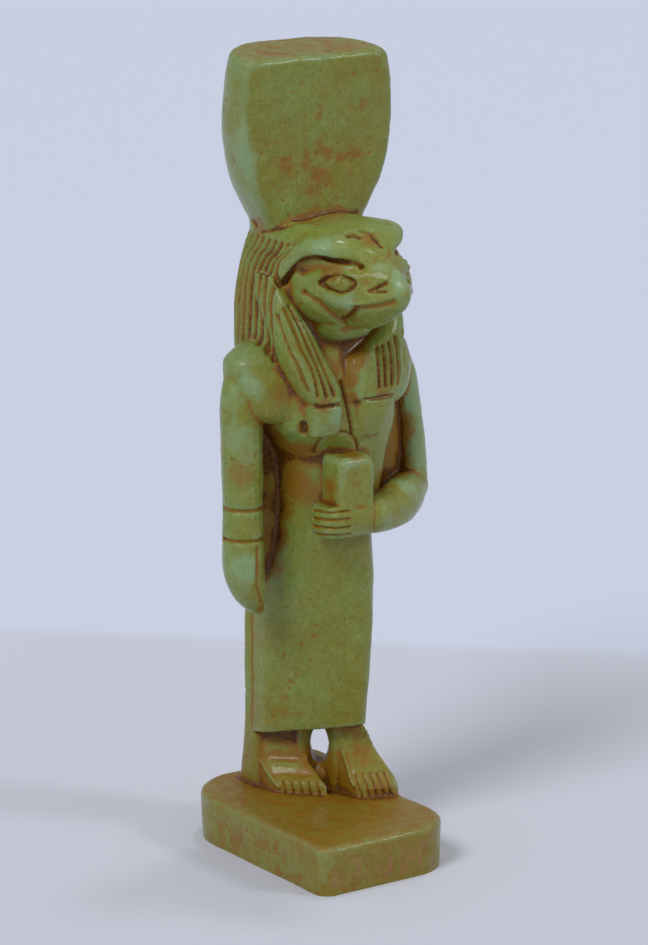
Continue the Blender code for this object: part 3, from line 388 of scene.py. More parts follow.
FOREHEAD_LINES = (
    (((-3.6, -10.6, 133.4), (-2.5, -10.9, 133.8), (-1.9, -11.5, 133.0)), 1.0, 1.2),
    (((-0.2, -10.2, 134.0), (0.8, -10.6, 134.2), (1.3, -11.3, 133.6), (1.3, -13.1, 132.2)), 1.0, 1.2),
    (((1.3, -12.6, 132.6), (1.4, -14.6, 131.2)), 0.8, 0.7),
)

FINGER_LINES = (
    ((-9.4, -6.0, 76.2), (-8.6, -10.4, 76.5), (-4.6, -12.7, 76.6)),
    ((-9.6, -6.2, 74.5), (-8.8, -10.8, 74.9), (-4.7, -12.8, 75.0)),
    ((-9.4, -6.2, 72.8), (-8.6, -10.8, 73.2), (-4.6, -12.8, 73.2)),
    ((-8.8, -6.6, 71.3), (-8.2, -10.4, 71.6), (-4.2, -12.2, 71.5)),
)
THUMB_LINE = ((-18.6, 0.6, 68.0), (-18.9, 0.4, 61.0), (-17.0, 1.4, 55.6))
BRACELET_EDGES = (75.9, 69.5)
BRACELET = ((-19.2, 5.0), 4.6)
BRACELET_ARC = (-200.0, 20.0, 15.0)  # from, to and step, in degrees
# Half widths and depths of the cuts.
FINGER_CUT = (0.5, 0.6)
THUMB_CUT = (0.8, 0.35)
BRACELET_CUT = (0.8, 0.6)
TOE_CUT = (0.5, 0.45)
# The toes: where the outermost groove begins, the step to the next, and how far each runs back and up.
TOES = (
    ((-7.2, 7.2, 11.0), (1.35, -1.25, 0.0), (0.1, 1.2, 2.4), 5),
    ((4.6, -4.4, 11.0), (1.45, -0.58, 0.0), (0.0, 2.4, 3.8), 5),
)

# The cuts that part one form from the next, the ridges (of negative depth) and the deepest pits.
JOIN_LINES = (
    (
        (
            (-11.6, 9.0, 132.2),
            (-10.3, 4.1, 133.7),
            (-7.1, 1.6, 134.8),
            (-3.0, 1.1, 135.1),
            (4.9, 2.6, 135.3),
            (9.1, 3.9, 135.2),
        ),
        0.6,
        0.35,
    ),
    (((-11.5, 12.5, 133.8), (-11.4, 11.4, 133.4)), 0.9, 0.9),
    (((-2.8, -9.6, 98.4), (-11.0, -9.0, 98.4)), 0.8, 0.9),
    (((1.6, -9.4, 98.4), (11.2, -8.6, 98.6)), 0.8, 0.9),
    (((-2.8, -8.2, 103.0), (-1.8, -8.4, 98.0), (-0.4, -8.0, 91.0)), 0.8, 0.8),
    (
        (
            (-7.0, -2.8, 87.4),
            (-7.2, -4.6, 89.5),
            (-6.9, -6.6, 91.6),
            (-4.8, -7.4, 92.4),
            (-1.1, -7.0, 91.5),
            (0.8, -7.1, 89.5),
            (1.6, -7.2, 87.5),
        ),
        0.7,
        0.5,
    ),
    (((-10.6, -4.8, 94.4), (-10.4, -4.4, 92.4)), 1.1, 0.9),
    (((-8.4, 14.8, 15.9), (-7.9, 12.0, 13.8), (-7.7, 8.6, 11.8)), 0.6, -0.6),
    (((4.0, 1.8, 19.3), (4.0, -0.8, 15.2), (3.8, -2.6, 13.0)), 0.6, -0.6),
)

# The visual piece.
FINE_TRIANGLES = 186000
RELIEF = (  # size of the bumps in metres, height in metres
    (0.0090, 0.00016),
    (0.0032, 0.00008),
    (0.0011, 0.00003),
)
RELIEF_OFFSET = 1e4  # sets the bumps of each size apart
PIT_SIZE = 0.0012
PIT_START = 0.50  # only noise above this digs a pit
PIT_DEPTH = 0.0005

# Places of the figure painted rust and ochre, partly real stains and partly painted shade under the chin,
# between the lappets, under the toes and between the legs: x, y, z and radius in grid units, and how strong
# each is.
STAINS_AND_PAINTED_SHADE = (
    (-12.5, 5.0, 91.0, 5.0, 1.0),
    (-11.0, 4.0, 86.0, 5.5, 1.0),
    (-7.5, -1.0, 87.0, 4.5, 0.85),
    (-8.6, 2.0, 80.0, 5.0, 0.85),
    (-7.5, -1.0, 78.0, 4.0, 0.6),
    (-9.6, 6.0, 74.0, 4.0, 0.9),
    (-9.6, 7.0, 68.0, 4.0, 0.8),
    (-9.6, 8.5, 61.0, 3.5, 0.6),
    (-3.6, -4.5, 82.0, 3.0, 0.55),
    (-14.5, 7.0, 90.0, 5.0, 1.0),
    (-14.5, 7.0, 83.0, 5.0, 1.0),
    (-14.5, 7.0, 76.0, 4.5, 0.95),
    (-14.0, 7.5, 69.0, 4.5, 0.9),
    (-13.5, 8.5, 63.0, 3.5, 0.75),
    (16.5, 1.5, 88.0, 5.5, 1.0),
    (15.8, 1.0, 81.0, 5.0, 1.0),
    (15.5, 0.5, 94.0, 3.0, 0.9),
    (9.5, -5.0, 80.0, 3.0, 0.6),
    (0.5, -6.5, 107.5, 4.0, 0.9),
    (-0.5, -7.5, 99.0, 2.0, 0.8),
    (-1.0, -7.5, 103.0, 2.2, 0.9),
    (2.0, 8.0, 15.0, 6.0, 1.0),
    (1.0, 14.0, 13.0, 5.0, 0.9),
    (-4.2, 12.5, 24.5, 4.0, 0.75),
    (7.8, 2.5, 26.0, 3.2, 0.6),
    (8.0, -6.6, 11.4, 3.2, 0.8),
    (-14.8, -2.5, 101.0, 3.5, 0.4),
    (-10.6, -4.8, 93.6, 1.8, 0.85),
    (-2.0, -10.0, 88.0, 3.0, 0.65),
    (-6.6, -8.5, 81.0, 3.0, 0.6),
    (-8.6, -9.0, 98.8, 2.2, 0.6),
    (6.0, -9.0, 99.4, 2.2, 0.5),
    (-16.0, 3.0, 54.4, 1.8, 0.8),
    (-22.5, 1.0, 84.0, 4.5, 0.4),
    (0.0, -13.0, 133.5, 3.0, 0.55),
    (9.0, -12.0, 127.0, 3.2, 0.55),
    (-9.0, -12.0, 127.0, 3.2, 0.55),
    (6.0, -14.0, 118.0, 3.4, 0.4),
    (-6.0, -14.0, 118.0, 3.4, 0.4),
    (0.0, 0.0, 134.5, 5.0, 0.4),
    (-10.0, 10.0, 134.0, 4.0, 0.65),
    (-13.0, 12.0, 118.0, 9.0, 0.35),
)

# Places painted a lighter turquoise, in the same terms: partly where the glaze is thick and bluer, and
# partly painted highlight and painted light on the beak, brow, cheek, lappet, chest tab, held block, arms
# and crown.
BLUE_TINTS_AND_HIGHLIGHTS = (
    (0.0, -23.5, 126.0, 2.6, 0.9),
    (-2.0, -19.5, 128.0, 2.0, 0.6),
    (-9.6, -9.6, 131.5, 2.4, 0.6),
    (22.5, 1.0, 95.0, 7.0, 0.95),
    (22.0, -1.0, 84.0, 7.0, 0.95),
    (14.0, -7.0, 77.0, 3.0, 0.5),
    (-12.0, -5.5, 114.5, 2.6, 0.6),
    (-5.4, -9.4, 96.5, 2.4, 0.6),
    (-3.0, -12.0, 86.8, 2.6, 0.55),
    (-21.5, 0.5, 64.0, 3.2, 0.6),
    (-21.0, 1.0, 102.0, 4.0, 0.5),
    (-21.5, 0.5, 90.0, 6.0, 0.4),
    (-18.0, 6.0, 150.0, 7.0, 0.45),
    (-7.0, -16.5, 121.5, 2.6, 0.45),
    (12.0, -24.0, 8.0, 4.0, 0.55),
)

PLACE_FADE = (0.3, 1.3)  # a place fades out between these shares of its radius

# Rounds of smoothing that tell hollows of three sizes.
BROAD, MIDDLE, FINE = 40, 12, 4
TENTHS = 1e4  # tenths of a millimetre in a metre

# Dirt: a film all over, more near the feet and on the tops of the plinth and the crown, and what gathers
# in hollows. Each row of the hollows: rounds, depth at which it starts, depth that it goes on for, strength.
FILM = 0.02
LOW_DIRT = 0.27
LOW_REACH = 0.030
PLINTH_DIRT = 0.16
PLINTH_MARGIN = 0.002  # what faces up below this height above the plinth's top belongs to the plinth
CROWN_DIRT = 0.30
UPWARD = (0.5, 0.9)
DIRT_HOLLOWS = ((BROAD, 0.6, 3.0, 0.20), (MIDDLE, 0.0, 1.0, 0.5), (FINE, 0.0, 1.0, 0.6))

# Rust, by the broad hollows, the stained places (some of them painted shade) and the fine hollows: where
# each starts, and its strength.
RUST_BROAD = (1.4, 0.32)
RUST_AND_SHADE_SPOTS = (0.35, 1.5)
RUST_FINE = (0.7, 0.5)

# Bluer, lighter glaze on the ridges, partly the glaze's own tint and partly painted highlight: how high they
# start, its strength, and the most of it.
RIDGE_TINT_AND_HIGHLIGHT = (2.0, 0.12, 0.6)

# Olive glaze: everywhere, on what faces forward, and near the feet.
OLIVE_SHARES = (0.25, 0.35, 0.40)

# The scratched edge: how far behind the plinth's front it fades out and in, and at which heights.
SCRATCH_DEPTHS = (0.0012, 0.0004)
SCRATCH_FROM = (0.0005, 0.0030)
SCRATCH_TO = (0.0060, 0.0090)

# Colours of the glaze and of the dirt in it; the turquoise also serves as painted highlight.
OLIVE = (0.245, 0.212, 0.010)
GREEN = (0.215, 0.320, 0.065)
PALE = (0.290, 0.350, 0.110)
SHADE = (0.130, 0.115, 0.006)
TURQUOISE_AND_HIGHLIGHT = (0.250, 0.410, 0.215)
# The ochre and the rust also serve as painted shade at some stained places.
OCHRE = (0.260, 0.115, 0.002)
RUST_AND_PAINTED_SHADE = (0.165, 0.056, 0.001)
DARK = (0.016, 0.009, 0.003)
BRICK = (0.340, 0.150, 0.060)

# Noise in the glaze: its scale, detail and roughness, then the values at which it starts to show and is
# full, and the least and the most that it gives.
PATCH_NOISE = ((75.0, 4.0, 0.6), (0.36, 0.66, -0.35, 0.35))
PALE_NOISE = ((330.0, 6.0, 0.75), (0.48, 0.72, 0.0, 0.6))
SHADE_NOISE = ((950.0, 6.0, 0.8), (0.42, 0.70, 0.0, 0.55))
SMEAR_NOISE = ((240.0, 8.0, 0.85), (0.46, 0.74, 0.0, 0.22))
SPECK_NOISE = ((1300.0, 5.0, 0.85), (0.50, 0.60, 0.0, 1.0))
BUMP_NOISE = (1300.0, 5.0, 0.7)
SPECK_PLACES = (0.30, 0.90)

# Scratches: noise drawn out upright.
STROKE_STRETCH = (1.0, 1.0, 0.22)
STROKE_TURN = (0.0, 0.3, 0.0)
STROKE_NOISE = (900.0, 4.0)
STROKE_RANGE = (0.50, 0.60, 0.0, 0.6)

# What follows a stored attribute broken up by noise: the noise's scale, the sums of the two at which it
# starts to show and is full, and the most of it.
TINT_AND_HIGHLIGHT_PATCHES = (620.0, 0.85, 1.40, 0.70)
DIRT_PATCHES = (520.0, 0.62, 1.10, 0.90)
RUST_PATCHES = (800.0, 0.66, 1.05, 0.95)
BROKEN_NOISE = (6.0, 0.75)  # its detail and roughness

# The glaze's shine.
ROUGHNESS = (0.20, 0.45)  # clean and dirty
SPECULAR = 0.32
COAT = 0.22
COAT_ROUGHNESS = 0.12
BUMP_STRENGTH = 0.8
BUMP_HEIGHT = 0.0003
SHARP_ANGLE = math.radians(50)  # edges sharper than this stay sharp

# The table top, and the backdrop beyond the photograph's horizon.
FLOOR_SIZE = 6.0
FLOOR_COLOUR = (0.665, 0.695, 0.810)
FLOOR_ROUGHNESS = 0.75
BACKDROP_COLOUR = (0.695, 0.760, 0.935)
HORIZON_DIRECTION = (0.678, 0.735, 0.0)
HORIZON_DISTANCE = 0.153
HORIZON_BLUR = 0.004

# The light. Each sun: name, the direction it shines from, strength and how wide it looks.
SKY_COLOUR = (0.67, 0.66, 0.65)
SKY_STRENGTH = 0.55
SUNS = (
    ("key", (-0.80, -0.30, 0.90), 1.25, 0.35),
    ("fill", (0.60, -0.75, 0.60), 0.55, 0.2),
    ("glint", (0.27, 0.09, 0.95), 0.32, 0.12),
)

# The photograph's camera.
AZIMUTH = math.radians(-34.93)
ELEVATION = math.radians(13.84)
AIM = Vector((0.0, 0.0, 0.085))
DISTANCE = 0.86263
LENS = 158.33
SHIFT = (0.00745, -0.0145)
SENSOR_WIDTH = 36.0
NEAR_CLIP = 0.01


def place(x, y, z):
    """A point of the figure's grid, in metres."""
    return Vector((FIGURE_X + x * UNIT, y * UNIT, PLINTH_HEIGHT + (z - GROUND) * UNIT))


def place_on_crown(x, y, z):
    """The same for the crown, whose top rises towards the back."""
    share = min(1.0, max(0.0, (z - CROWN_LEVEL) / (CROWN[-1][0] - CROWN_LEVEL)))
    return place(x, y, z + CROWN_RISE * share * (y - CROWN_MIDDLE))


def place_on_head(x, y, z):
    """The same for the face, whose left side is higher."""
    return place(x, y, z + HEAD_TILT * x)


def eased(rows, at):
    """The rest of a table's row at any value of its first column, on smooth curves that never overshoot."""
    table = np.array(rows, float)
    keys = table[:, 0]
    secants = np.diff(table[:, 1:], axis=0) / np.diff(keys)[:, None]
    slopes = np.zeros_like(table[:, 1:])
    before, after = secants[:-1], secants[1:]
    same = before * after > 0
    slopes[1:-1][same] = 2 * before[same] * after[same] / (before[same] + after[same])
    slopes[0], slopes[-1] = secants[0], secants[-1]
    i = int(np.clip(np.searchsorted(keys, at, side="right") - 1, 0, len(keys) - 2))
    span = keys[i + 1] - keys[i]
    t = (at - keys[i]) / span
    return (
        (2 * t**3 - 3 * t**2 + 1) * table[i, 1:]
        + (t**3 - 2 * t**2 + t) * span * slopes[i]
        + (3 * t**2 - 2 * t**3) * table[i + 1, 1:]
        + (t**3 - t**2) * span * slopes[i + 1]
    )


def steps(first, last, spacing):
    """Evenly spaced values from first to last, about `spacing` apart."""
    return np.linspace(first, last, max(2, round(abs(last - first) / spacing) + 1))


def outline(half, near, far, square_near, square_far, slant=0.0, square_right=None, count=96):
    """A rounded outline that reaches `near` below its widest line and `far` above it, as square as asked."""
    points = []
    for k in range(count):
        angle = 2 * math.pi * k / count
        across, along = math.cos(angle), math.sin(angle)
        depth, square = (near, square_near) if along < 0 else (far, square_far)
        if along < 0 and across < 0 and square_right:
            square = square_right
        u = half * math.copysign(abs(across) ** (2 / square), across)
        share = abs(along) ** (2 / square)
        v = math.copysign(depth * share, along)
        if along < 0:
            v += slant * u * share
        points.append((u, v))
    return points


def new_form(name, bm):
    """A form of the figure: a guide, kept out of the model."""
    mesh = bpy.data.meshes.new(name)
    bm.to_mesh(mesh)
    bm.free()
    return link_form(name, mesh)


def link_form(name, data):
    form = bpy.data.objects.new(name, data)
    form.hide_render = True
    form.display_type = "WIRE"
    forms.objects.link(form)
    return form


def loft(name, rings):
    """A closed skin over rings that have the same number of points."""
    bm = bmesh.new()
    loops = [[bm.verts.new(point) for point in ring] for ring in rings]
    for low, high in zip(loops, loops[1:]):
        for i, j in zip(range(len(low)), [*range(1, len(low)), 0]):
            bm.faces.new((low[i], low[j], high[j], high[i]))
    bm.faces.new(reversed(loops[0]))
    bm.faces.new(loops[-1])
    bmesh.ops.recalc_face_normals(bm, faces=bm.faces)
    return new_form(name, bm)


def upright(name, rows, spacing=1.0, slope=0.0, reach=1.0, where=place):
    """A loft of level sections, from the lowest row to the highest, where `slope` tilts the lowest ones."""
    rings = []
    for z in steps(rows[0][0], rows[-1][0], spacing):
        x, half, y, front, back, *shape = eased(rows, z)
        tilt = slope * max(0.0, 1 - (z - rows[0][0]) / reach)
        section = outline(half, y - front, back - y, *shape)
        rings.append([where(x + u, y + v, z - tilt * (y + v)) for u, v in section])
    return loft(name, rings)


def lying(name, rows, where, spacing=0.8, slant=0.0):
    """A loft of sections that stand across the figure, from the front row to the back, turned by `slant`."""
    rings = []
    for y in steps(rows[0][0], rows[-1][0], spacing):
        x, half, z, low, high, square_low, square_high = eased(rows, y)
        section = outline(half, z - low, high - z, square_low, square_high)
        rings.append([where(x + u, y + slant * u, z + v) for u, v in section])
    return loft(name, rings)


def tube(name, rows, where=place):
    """A round form of changing thickness along a smooth line."""
    curve = bpy.data.curves.new(name, "CURVE")
    curve.dimensions = "3D"
    curve.bevel_depth = 1.0
    curve.bevel_resolution = 6
    curve.resolution_u = 5
    curve.use_fill_caps = True
    spline = curve.splines.new("NURBS")
    spline.points.add(len(rows) - 1)
    spline.order_u = 3
    spline.use_endpoint_u = True
    for point, (x, y, z, radius) in zip(spline.points, rows):
        point.co = (*where(x, y, z), 1.0)
        point.radius = radius * UNIT
    form = link_form(name, curve)
    for end, row in (("top", rows[0]), ("tip", rows[-1])):
        ball(f"{name}_{end}", row[:3], (row[3],) * 3, (0.0, 0.0, 0.0), where)
    return form


def ball(name, middle, radii, turn, where=place):
    """An ellipsoid."""
    bm = bmesh.new()
    bmesh.ops.create_uvsphere(bm, u_segments=32, v_segments=20, radius=1.0)
    form = new_form(name, bm)
    form.location = where(*middle)
    form.rotation_euler = [math.radians(angle) for angle in turn]
    form.scale = [radius * UNIT for radius in radii]
    return form


def upright_corner(bm, sx, sy):
    """The edges of the block that stand at one of its corners."""
    at = (sx * PLINTH_WIDTH / 2, sy * PLINTH_DEPTH / 2)
    return [edge for edge in bm.edges if all(math.dist(v.co.xy, at) < NEAR_ENOUGH for v in edge.verts)]


def round_edges(bm, edges, radius, faces):
    bmesh.ops.bevel(bm, geom=edges, offset=radius, segments=faces, profile=0.5, affect="EDGES")


def build_plinth():
    """The block under the feet, with its corners rounded, its top edge softened and its sides undercut."""
    bm = bmesh.new()
    bmesh.ops.create_cube(bm, size=1.0)
    height = PLINTH_HEIGHT + PLINTH_SPARE
    bmesh.ops.scale(bm, vec=(PLINTH_WIDTH, PLINTH_DEPTH, height), verts=bm.verts)
    bmesh.ops.translate(bm, vec=(0.0, 0.0, PLINTH_HEIGHT - height / 2), verts=bm.verts)
    for (sx, sy), radius in zip(((-1, -1), (1, -1), (1, 1), (-1, 1)), PLINTH_CORNERS):
        corner = upright_corner(bm, sx, sy)
        round_edges(bm, corner, radius, CORNER_FACES)
    top = [edge for edge in bm.edges if all(v.co.z > PLINTH_HEIGHT - NEAR_ENOUGH for v in edge.verts)]
    round_edges(bm, top, PLINTH_EDGE, EDGE_FACES)
    for v in bm.verts:
        if v.co.z < 0:
            v.co.x *= 1 - 2 * PLINTH_UNDERCUT / PLINTH_WIDTH
            v.co.y *= 1 - 2 * PLINTH_UNDERCUT / PLINTH_DEPTH
    return new_form("plinth", bm)


def build_body():
    upright("skirt_and_torso", BODY, slope=HEM_SLOPE, reach=HEM_REACH)
    upright("pillar", PILLAR)
    upright("right_web", RIGHT_WEB)
    upright("left_web", LEFT_WEB)
    upright("heel_web", HEEL_WEB)
    upright("leg_plate", LEG_PLATE)
    upright("shoulders", SHOULDERS)
    lying("right_foot", RIGHT_FOOT, place, spacing=0.5, slant=FOOT_SLANTS[0])
    lying("left_foot", LEFT_FOOT, place, spacing=0.5, slant=FOOT_SLANTS[1])


def build_arms():
    tube("right_arm", RIGHT_ARM)
    tube("left_upper_arm", LEFT_UPPER_ARM)
    tube("left_forearm", LEFT_FOREARM)
    upright("left_hand", LEFT_HAND, spacing=0.5)
    upright("held_block", HELD_BLOCK, spacing=0.6)


def build_head():
    upright("wig", WIG)
    upright("crown", CROWN, where=place_on_crown)
    upright("right_lappet", RIGHT_LAPPET, spacing=0.6)
    upright("right_lappet_end", RIGHT_LAPPET_END, spacing=0.6)
    upright("left_lappet", LEFT_LAPPET, spacing=0.6)
    upright("left_lappet_end", LEFT_LAPPET_END, spacing=0.6)
    lying("face", FACE, place_on_head, spacing=0.6)
    lying("brows", BROWS, place_on_head, spacing=0.5)
    upright("throat", THROAT)


def fuse(name, leg_gap):
    """One mesh of all the forms, less the gap between the legs, with their joins softened."""
    bm = bmesh.new()
    graph = bpy.context.evaluated_depsgraph_get()
    for form in forms.objects:
        if form == leg_gap:
            continue
        mesh = bpy.data.meshes.new_from_object(form.evaluated_get(graph))
        mesh.transform(form.matrix_world)
        bm.from_mesh(mesh)
        bpy.data.meshes.remove(mesh)
    bmesh.ops.remove_doubles(bm, verts=bm.verts, dist=1e-7)
    rough = bpy.data.meshes.new(name)
    bm.to_mesh(rough)
    bm.free()
    blank = bpy.data.objects.new(name, rough)
    bpy.context.scene.collection.objects.link(blank)
    remesh = blank.modifiers.new("fuse", "REMESH")
    remesh.mode = "VOXEL"
    remesh.voxel_size = VOXEL
    gap = blank.modifiers.new("leg_gap", "BOOLEAN")
    gap.solver = "EXACT"
    gap.object = leg_gap
    again = blank.modifiers.new("fuse_again", "REMESH")
    again.mode = "VOXEL"
    again.voxel_size = VOXEL
    soften = blank.modifiers.new("soften", "SMOOTH")
    soften.iterations = SOFTENING
    bpy.context.view_layer.update()
    fused = bpy.data.meshes.new_from_object(blank.evaluated_get(bpy.context.evaluated_depsgraph_get()))
    bpy.data.objects.remove(blank)
    bpy.data.meshes.remove(rough)
    return fused


def smooth_line(points, spacing):
    """Points along a smooth curve through the given ones."""
    points = np.array(points, float)
    lengths = np.concatenate(([0.0], np.cumsum(np.linalg.norm(np.diff(points, axis=0), axis=1))))
    if lengths[-1] == 0:
        return points
    rows = np.column_stack((lengths, points))
    return [eased(rows, at) for at in steps(0.0, lengths[-1], spacing)]


def read_vertices(mesh):
    """The places and normals of a mesh's vertices."""
    count = len(mesh.vertices)
    co = np.empty(count * 3, np.float32)
    mesh.vertices.foreach_get("co", co)
    normals = np.empty(count * 3, np.float32)
    mesh.vertex_normals.foreach_get("vector", normals)
    return co.reshape(-1, 3).astype(float), normals.reshape(-1, 3)


def carve(mesh, grooves):
    """Cut grooves into the surface, or raise it where a depth is negative.

    Each groove: points, half width and depth, in grid units.
    """
    places, normals = read_vertices(mesh)
    bm = bmesh.new()
    bm.from_mesh(mesh)
    surface = BVHTree.FromBMesh(bm)
    bm.free()
    cut = np.zeros(len(places))
    for points, half, depth in grooves:
        route = smooth_line(points, GROOVE_STEP * UNIT)
        line = np.array([surface.find_nearest(Vector(point))[0] for point in route])
        reach = half * UNIT
        near = np.flatnonzero(
            np.all((places > line.min(axis=0) - reach) & (places < line.max(axis=0) + reach), axis=1)
        )
        if not len(near):
            continue
        gaps = np.linalg.norm(places[near, None, :] - line[None, :, :], axis=2).min(axis=1)
        dip = np.where(gaps < reach, 0.5 + 0.5 * np.cos(np.pi * gaps / reach), 0.0)
        dip *= depth * UNIT
        cut[near] = np.where(np.abs(dip) > np.abs(cut[near]), dip, cut[near])
    places -= normals * cut[:, None]
    mesh.vertices.foreach_set("co", places.astype(np.float32).ravel())
    mesh.update()


def strands(rows, shares, low, high):
    """Lines down a form at fixed shares of its outline, counted from the middle of its back."""
    lines = []
    for share in shares:
        line = []
        for z in steps(low, high, STRAND_STEP):
            x, half, y, front, back, *shape = eased(rows, z)
            section = np.array(outline(half, y - front, back - y, *shape, count=SECTION_POINTS))
            section = np.roll(section, -SECTION_POINTS // 4, axis=0)
            section = np.vstack((section, section[:1]))
            run = np.concatenate(([0.0], np.cumsum(np.linalg.norm(np.diff(section, axis=0), axis=1))))
            at = (share % 1.0) * run[-1]
            u, v = np.interp(at, run, section[:, 0]), np.interp(at, run, section[:, 1])
            line.append(place(x + u, y + v, z))
        lines.append(line)
    return lines


def wig_grooves():
    """The strands of the wig, from its top to the cut across its two ends on the chest."""
    grooves = []
    shares = [k / STRANDS_AROUND for k in range(-STRANDS_EACH_SIDE, STRANDS_EACH_SIDE + 1)]
    for line in strands(WIG, shares, *STRAND_HEIGHTS):
        grooves.append((line, *STRAND))
    for line in RIGHT_LAPPET_LINES + LEFT_LAPPET_LINES:
        grooves.append(([place(*point) for point in line], *LAPPET_STRAND))
    return grooves


def placed(lines):
    """Cuts whose lines are given in the figure's grid."""
    return [([place(*point) for point in line], half, depth) for line, half, depth in lines]


def on_both_sides(lines):
    """Cuts in the face, with their mirror image."""
    grooves = []
    for side in (RIGHT, LEFT):
        for line, half, depth in lines:
            grooves.append(([place_on_head(x * side, y, z) for x, y, z in line], half, depth))
    return grooves


def eyeballs():
    (x, y, z), radius, height = EYEBALL
    return [([place_on_head(x * side, y, z)] * 2, radius, -height) for side in (RIGHT, LEFT)]


def limb_grooves():
    grooves = [([place(*point) for point in line], *FINGER_CUT) for line in FINGER_LINES]
    grooves.append(([place(*point) for point in THUMB_LINE], *THUMB_CUT))
    (x, y), radius = BRACELET
    for z in BRACELET_EDGES:
        angles = [math.radians(angle) for angle in steps(*BRACELET_ARC)]
        ring = [place(x + radius * math.cos(angle), y + radius * math.sin(angle), z) for angle in angles]
        grooves.append((ring, *BRACELET_CUT))
    for start, step, run, count in TOES:
        for k in range(count):
            first = [start[i] + k * step[i] for i in range(3)]
            last = [first[i] + run[i] for i in range(3)]
            grooves.append(([place(*first), place(*last)], *TOE_CUT))
    return grooves


def relief(mesh):
    """The uneven surface of hand-worked stone: soft bumps over the whole figure, and small pits."""
    for vertex, normal in zip(mesh.vertices, [n.vector.copy() for n in mesh.vertex_normals]):
        lift = 0.0
        for size, height in RELIEF:
            lift += height * noise.noise(vertex.co / size + Vector((size * RELIEF_OFFSET, 0.0, 0.0)))
        lift -= PIT_DEPTH * max(0.0, noise.noise(vertex.co / PIT_SIZE) - PIT_START)
        vertex.co += normal * lift
    mesh.update()


def applied(mesh, add_modifiers):
    """The mesh after modifiers."""
    holder = bpy.data.objects.new("holder", mesh)
    bpy.context.scene.collection.objects.link(holder)
    add_modifiers(holder)
    bpy.context.view_layer.update()
    result = bpy.data.meshes.new_from_object(holder.evaluated_get(bpy.context.evaluated_depsgraph_get()))
    bpy.data.objects.remove(holder)
    return result


def thinned(holder):
    thin = holder.modifiers.new("thin", "DECIMATE")
    thin.ratio = min(1.0, FINE_TRIANGLES / (2 * len(holder.data.polygons)))
    flat = holder.modifiers.new("underside", "BOOLEAN")
    flat.solver = "EXACT"
    flat.object = ground_cutter()


def ground_cutter():
    """Everything below the underside."""
    bm = bmesh.new()
    bmesh.ops.create_cube(bm, size=1.0)
    size = 2 * max(PLINTH_WIDTH, PLINTH_DEPTH)
    bmesh.ops.scale(bm, vec=(size, size, size), verts=bm.verts)
    bmesh.ops.translate(bm, vec=(0.0, 0.0, -size / 2), verts=bm.verts)
    return new_form("ground", bm)


def hollow(mesh, rounds):
    """How far each vertex lies below the surface around it, in tenths of a millimetre.

    It is under 0 on a ridge. More rounds compare a vertex with a wider surface.
    """
    co, normals = read_vertices(mesh)
    count = len(co)
    pairs = np.empty(len(mesh.edges) * 2, np.int32)
    mesh.edges.foreach_get("vertices", pairs)
    pairs = pairs.reshape(-1, 2)
    degree = np.bincount(pairs.ravel(), minlength=count).clip(1)
    around = co.copy()
    for _ in range(rounds):
        for axis in range(3):
            total = np.bincount(pairs[:, 0], around[pairs[:, 1], axis], count)
            total += np.bincount(pairs[:, 1], around[pairs[:, 0], axis], count)
            around[:, axis] = total / degree
    return np.einsum("ij,ij->i", around - co, normals) * TENTHS


def store(mesh, name, values):
    layer = mesh.attributes.new(name, "FLOAT", "POINT")
    layer.data.foreach_set("value", values.astype(np.float32))


def smooth_share(values, low, high):
    share = np.clip((values - low) / (high - low), 0, 1)
    return share * share * (3 - 2 * share)


def near_places(co, places):
    """How strongly each vertex lies within some round places with soft edges."""
    shares = np.zeros(len(co))
    for x, y, z, radius, strength in places:
        gaps = np.linalg.norm(co - np.array(place(x, y, z)), axis=1)
        share = 1 - smooth_share(gaps, *(fade * radius * UNIT for fade in PLACE_FADE))
        shares = np.maximum(shares, strength * share)
    return shares


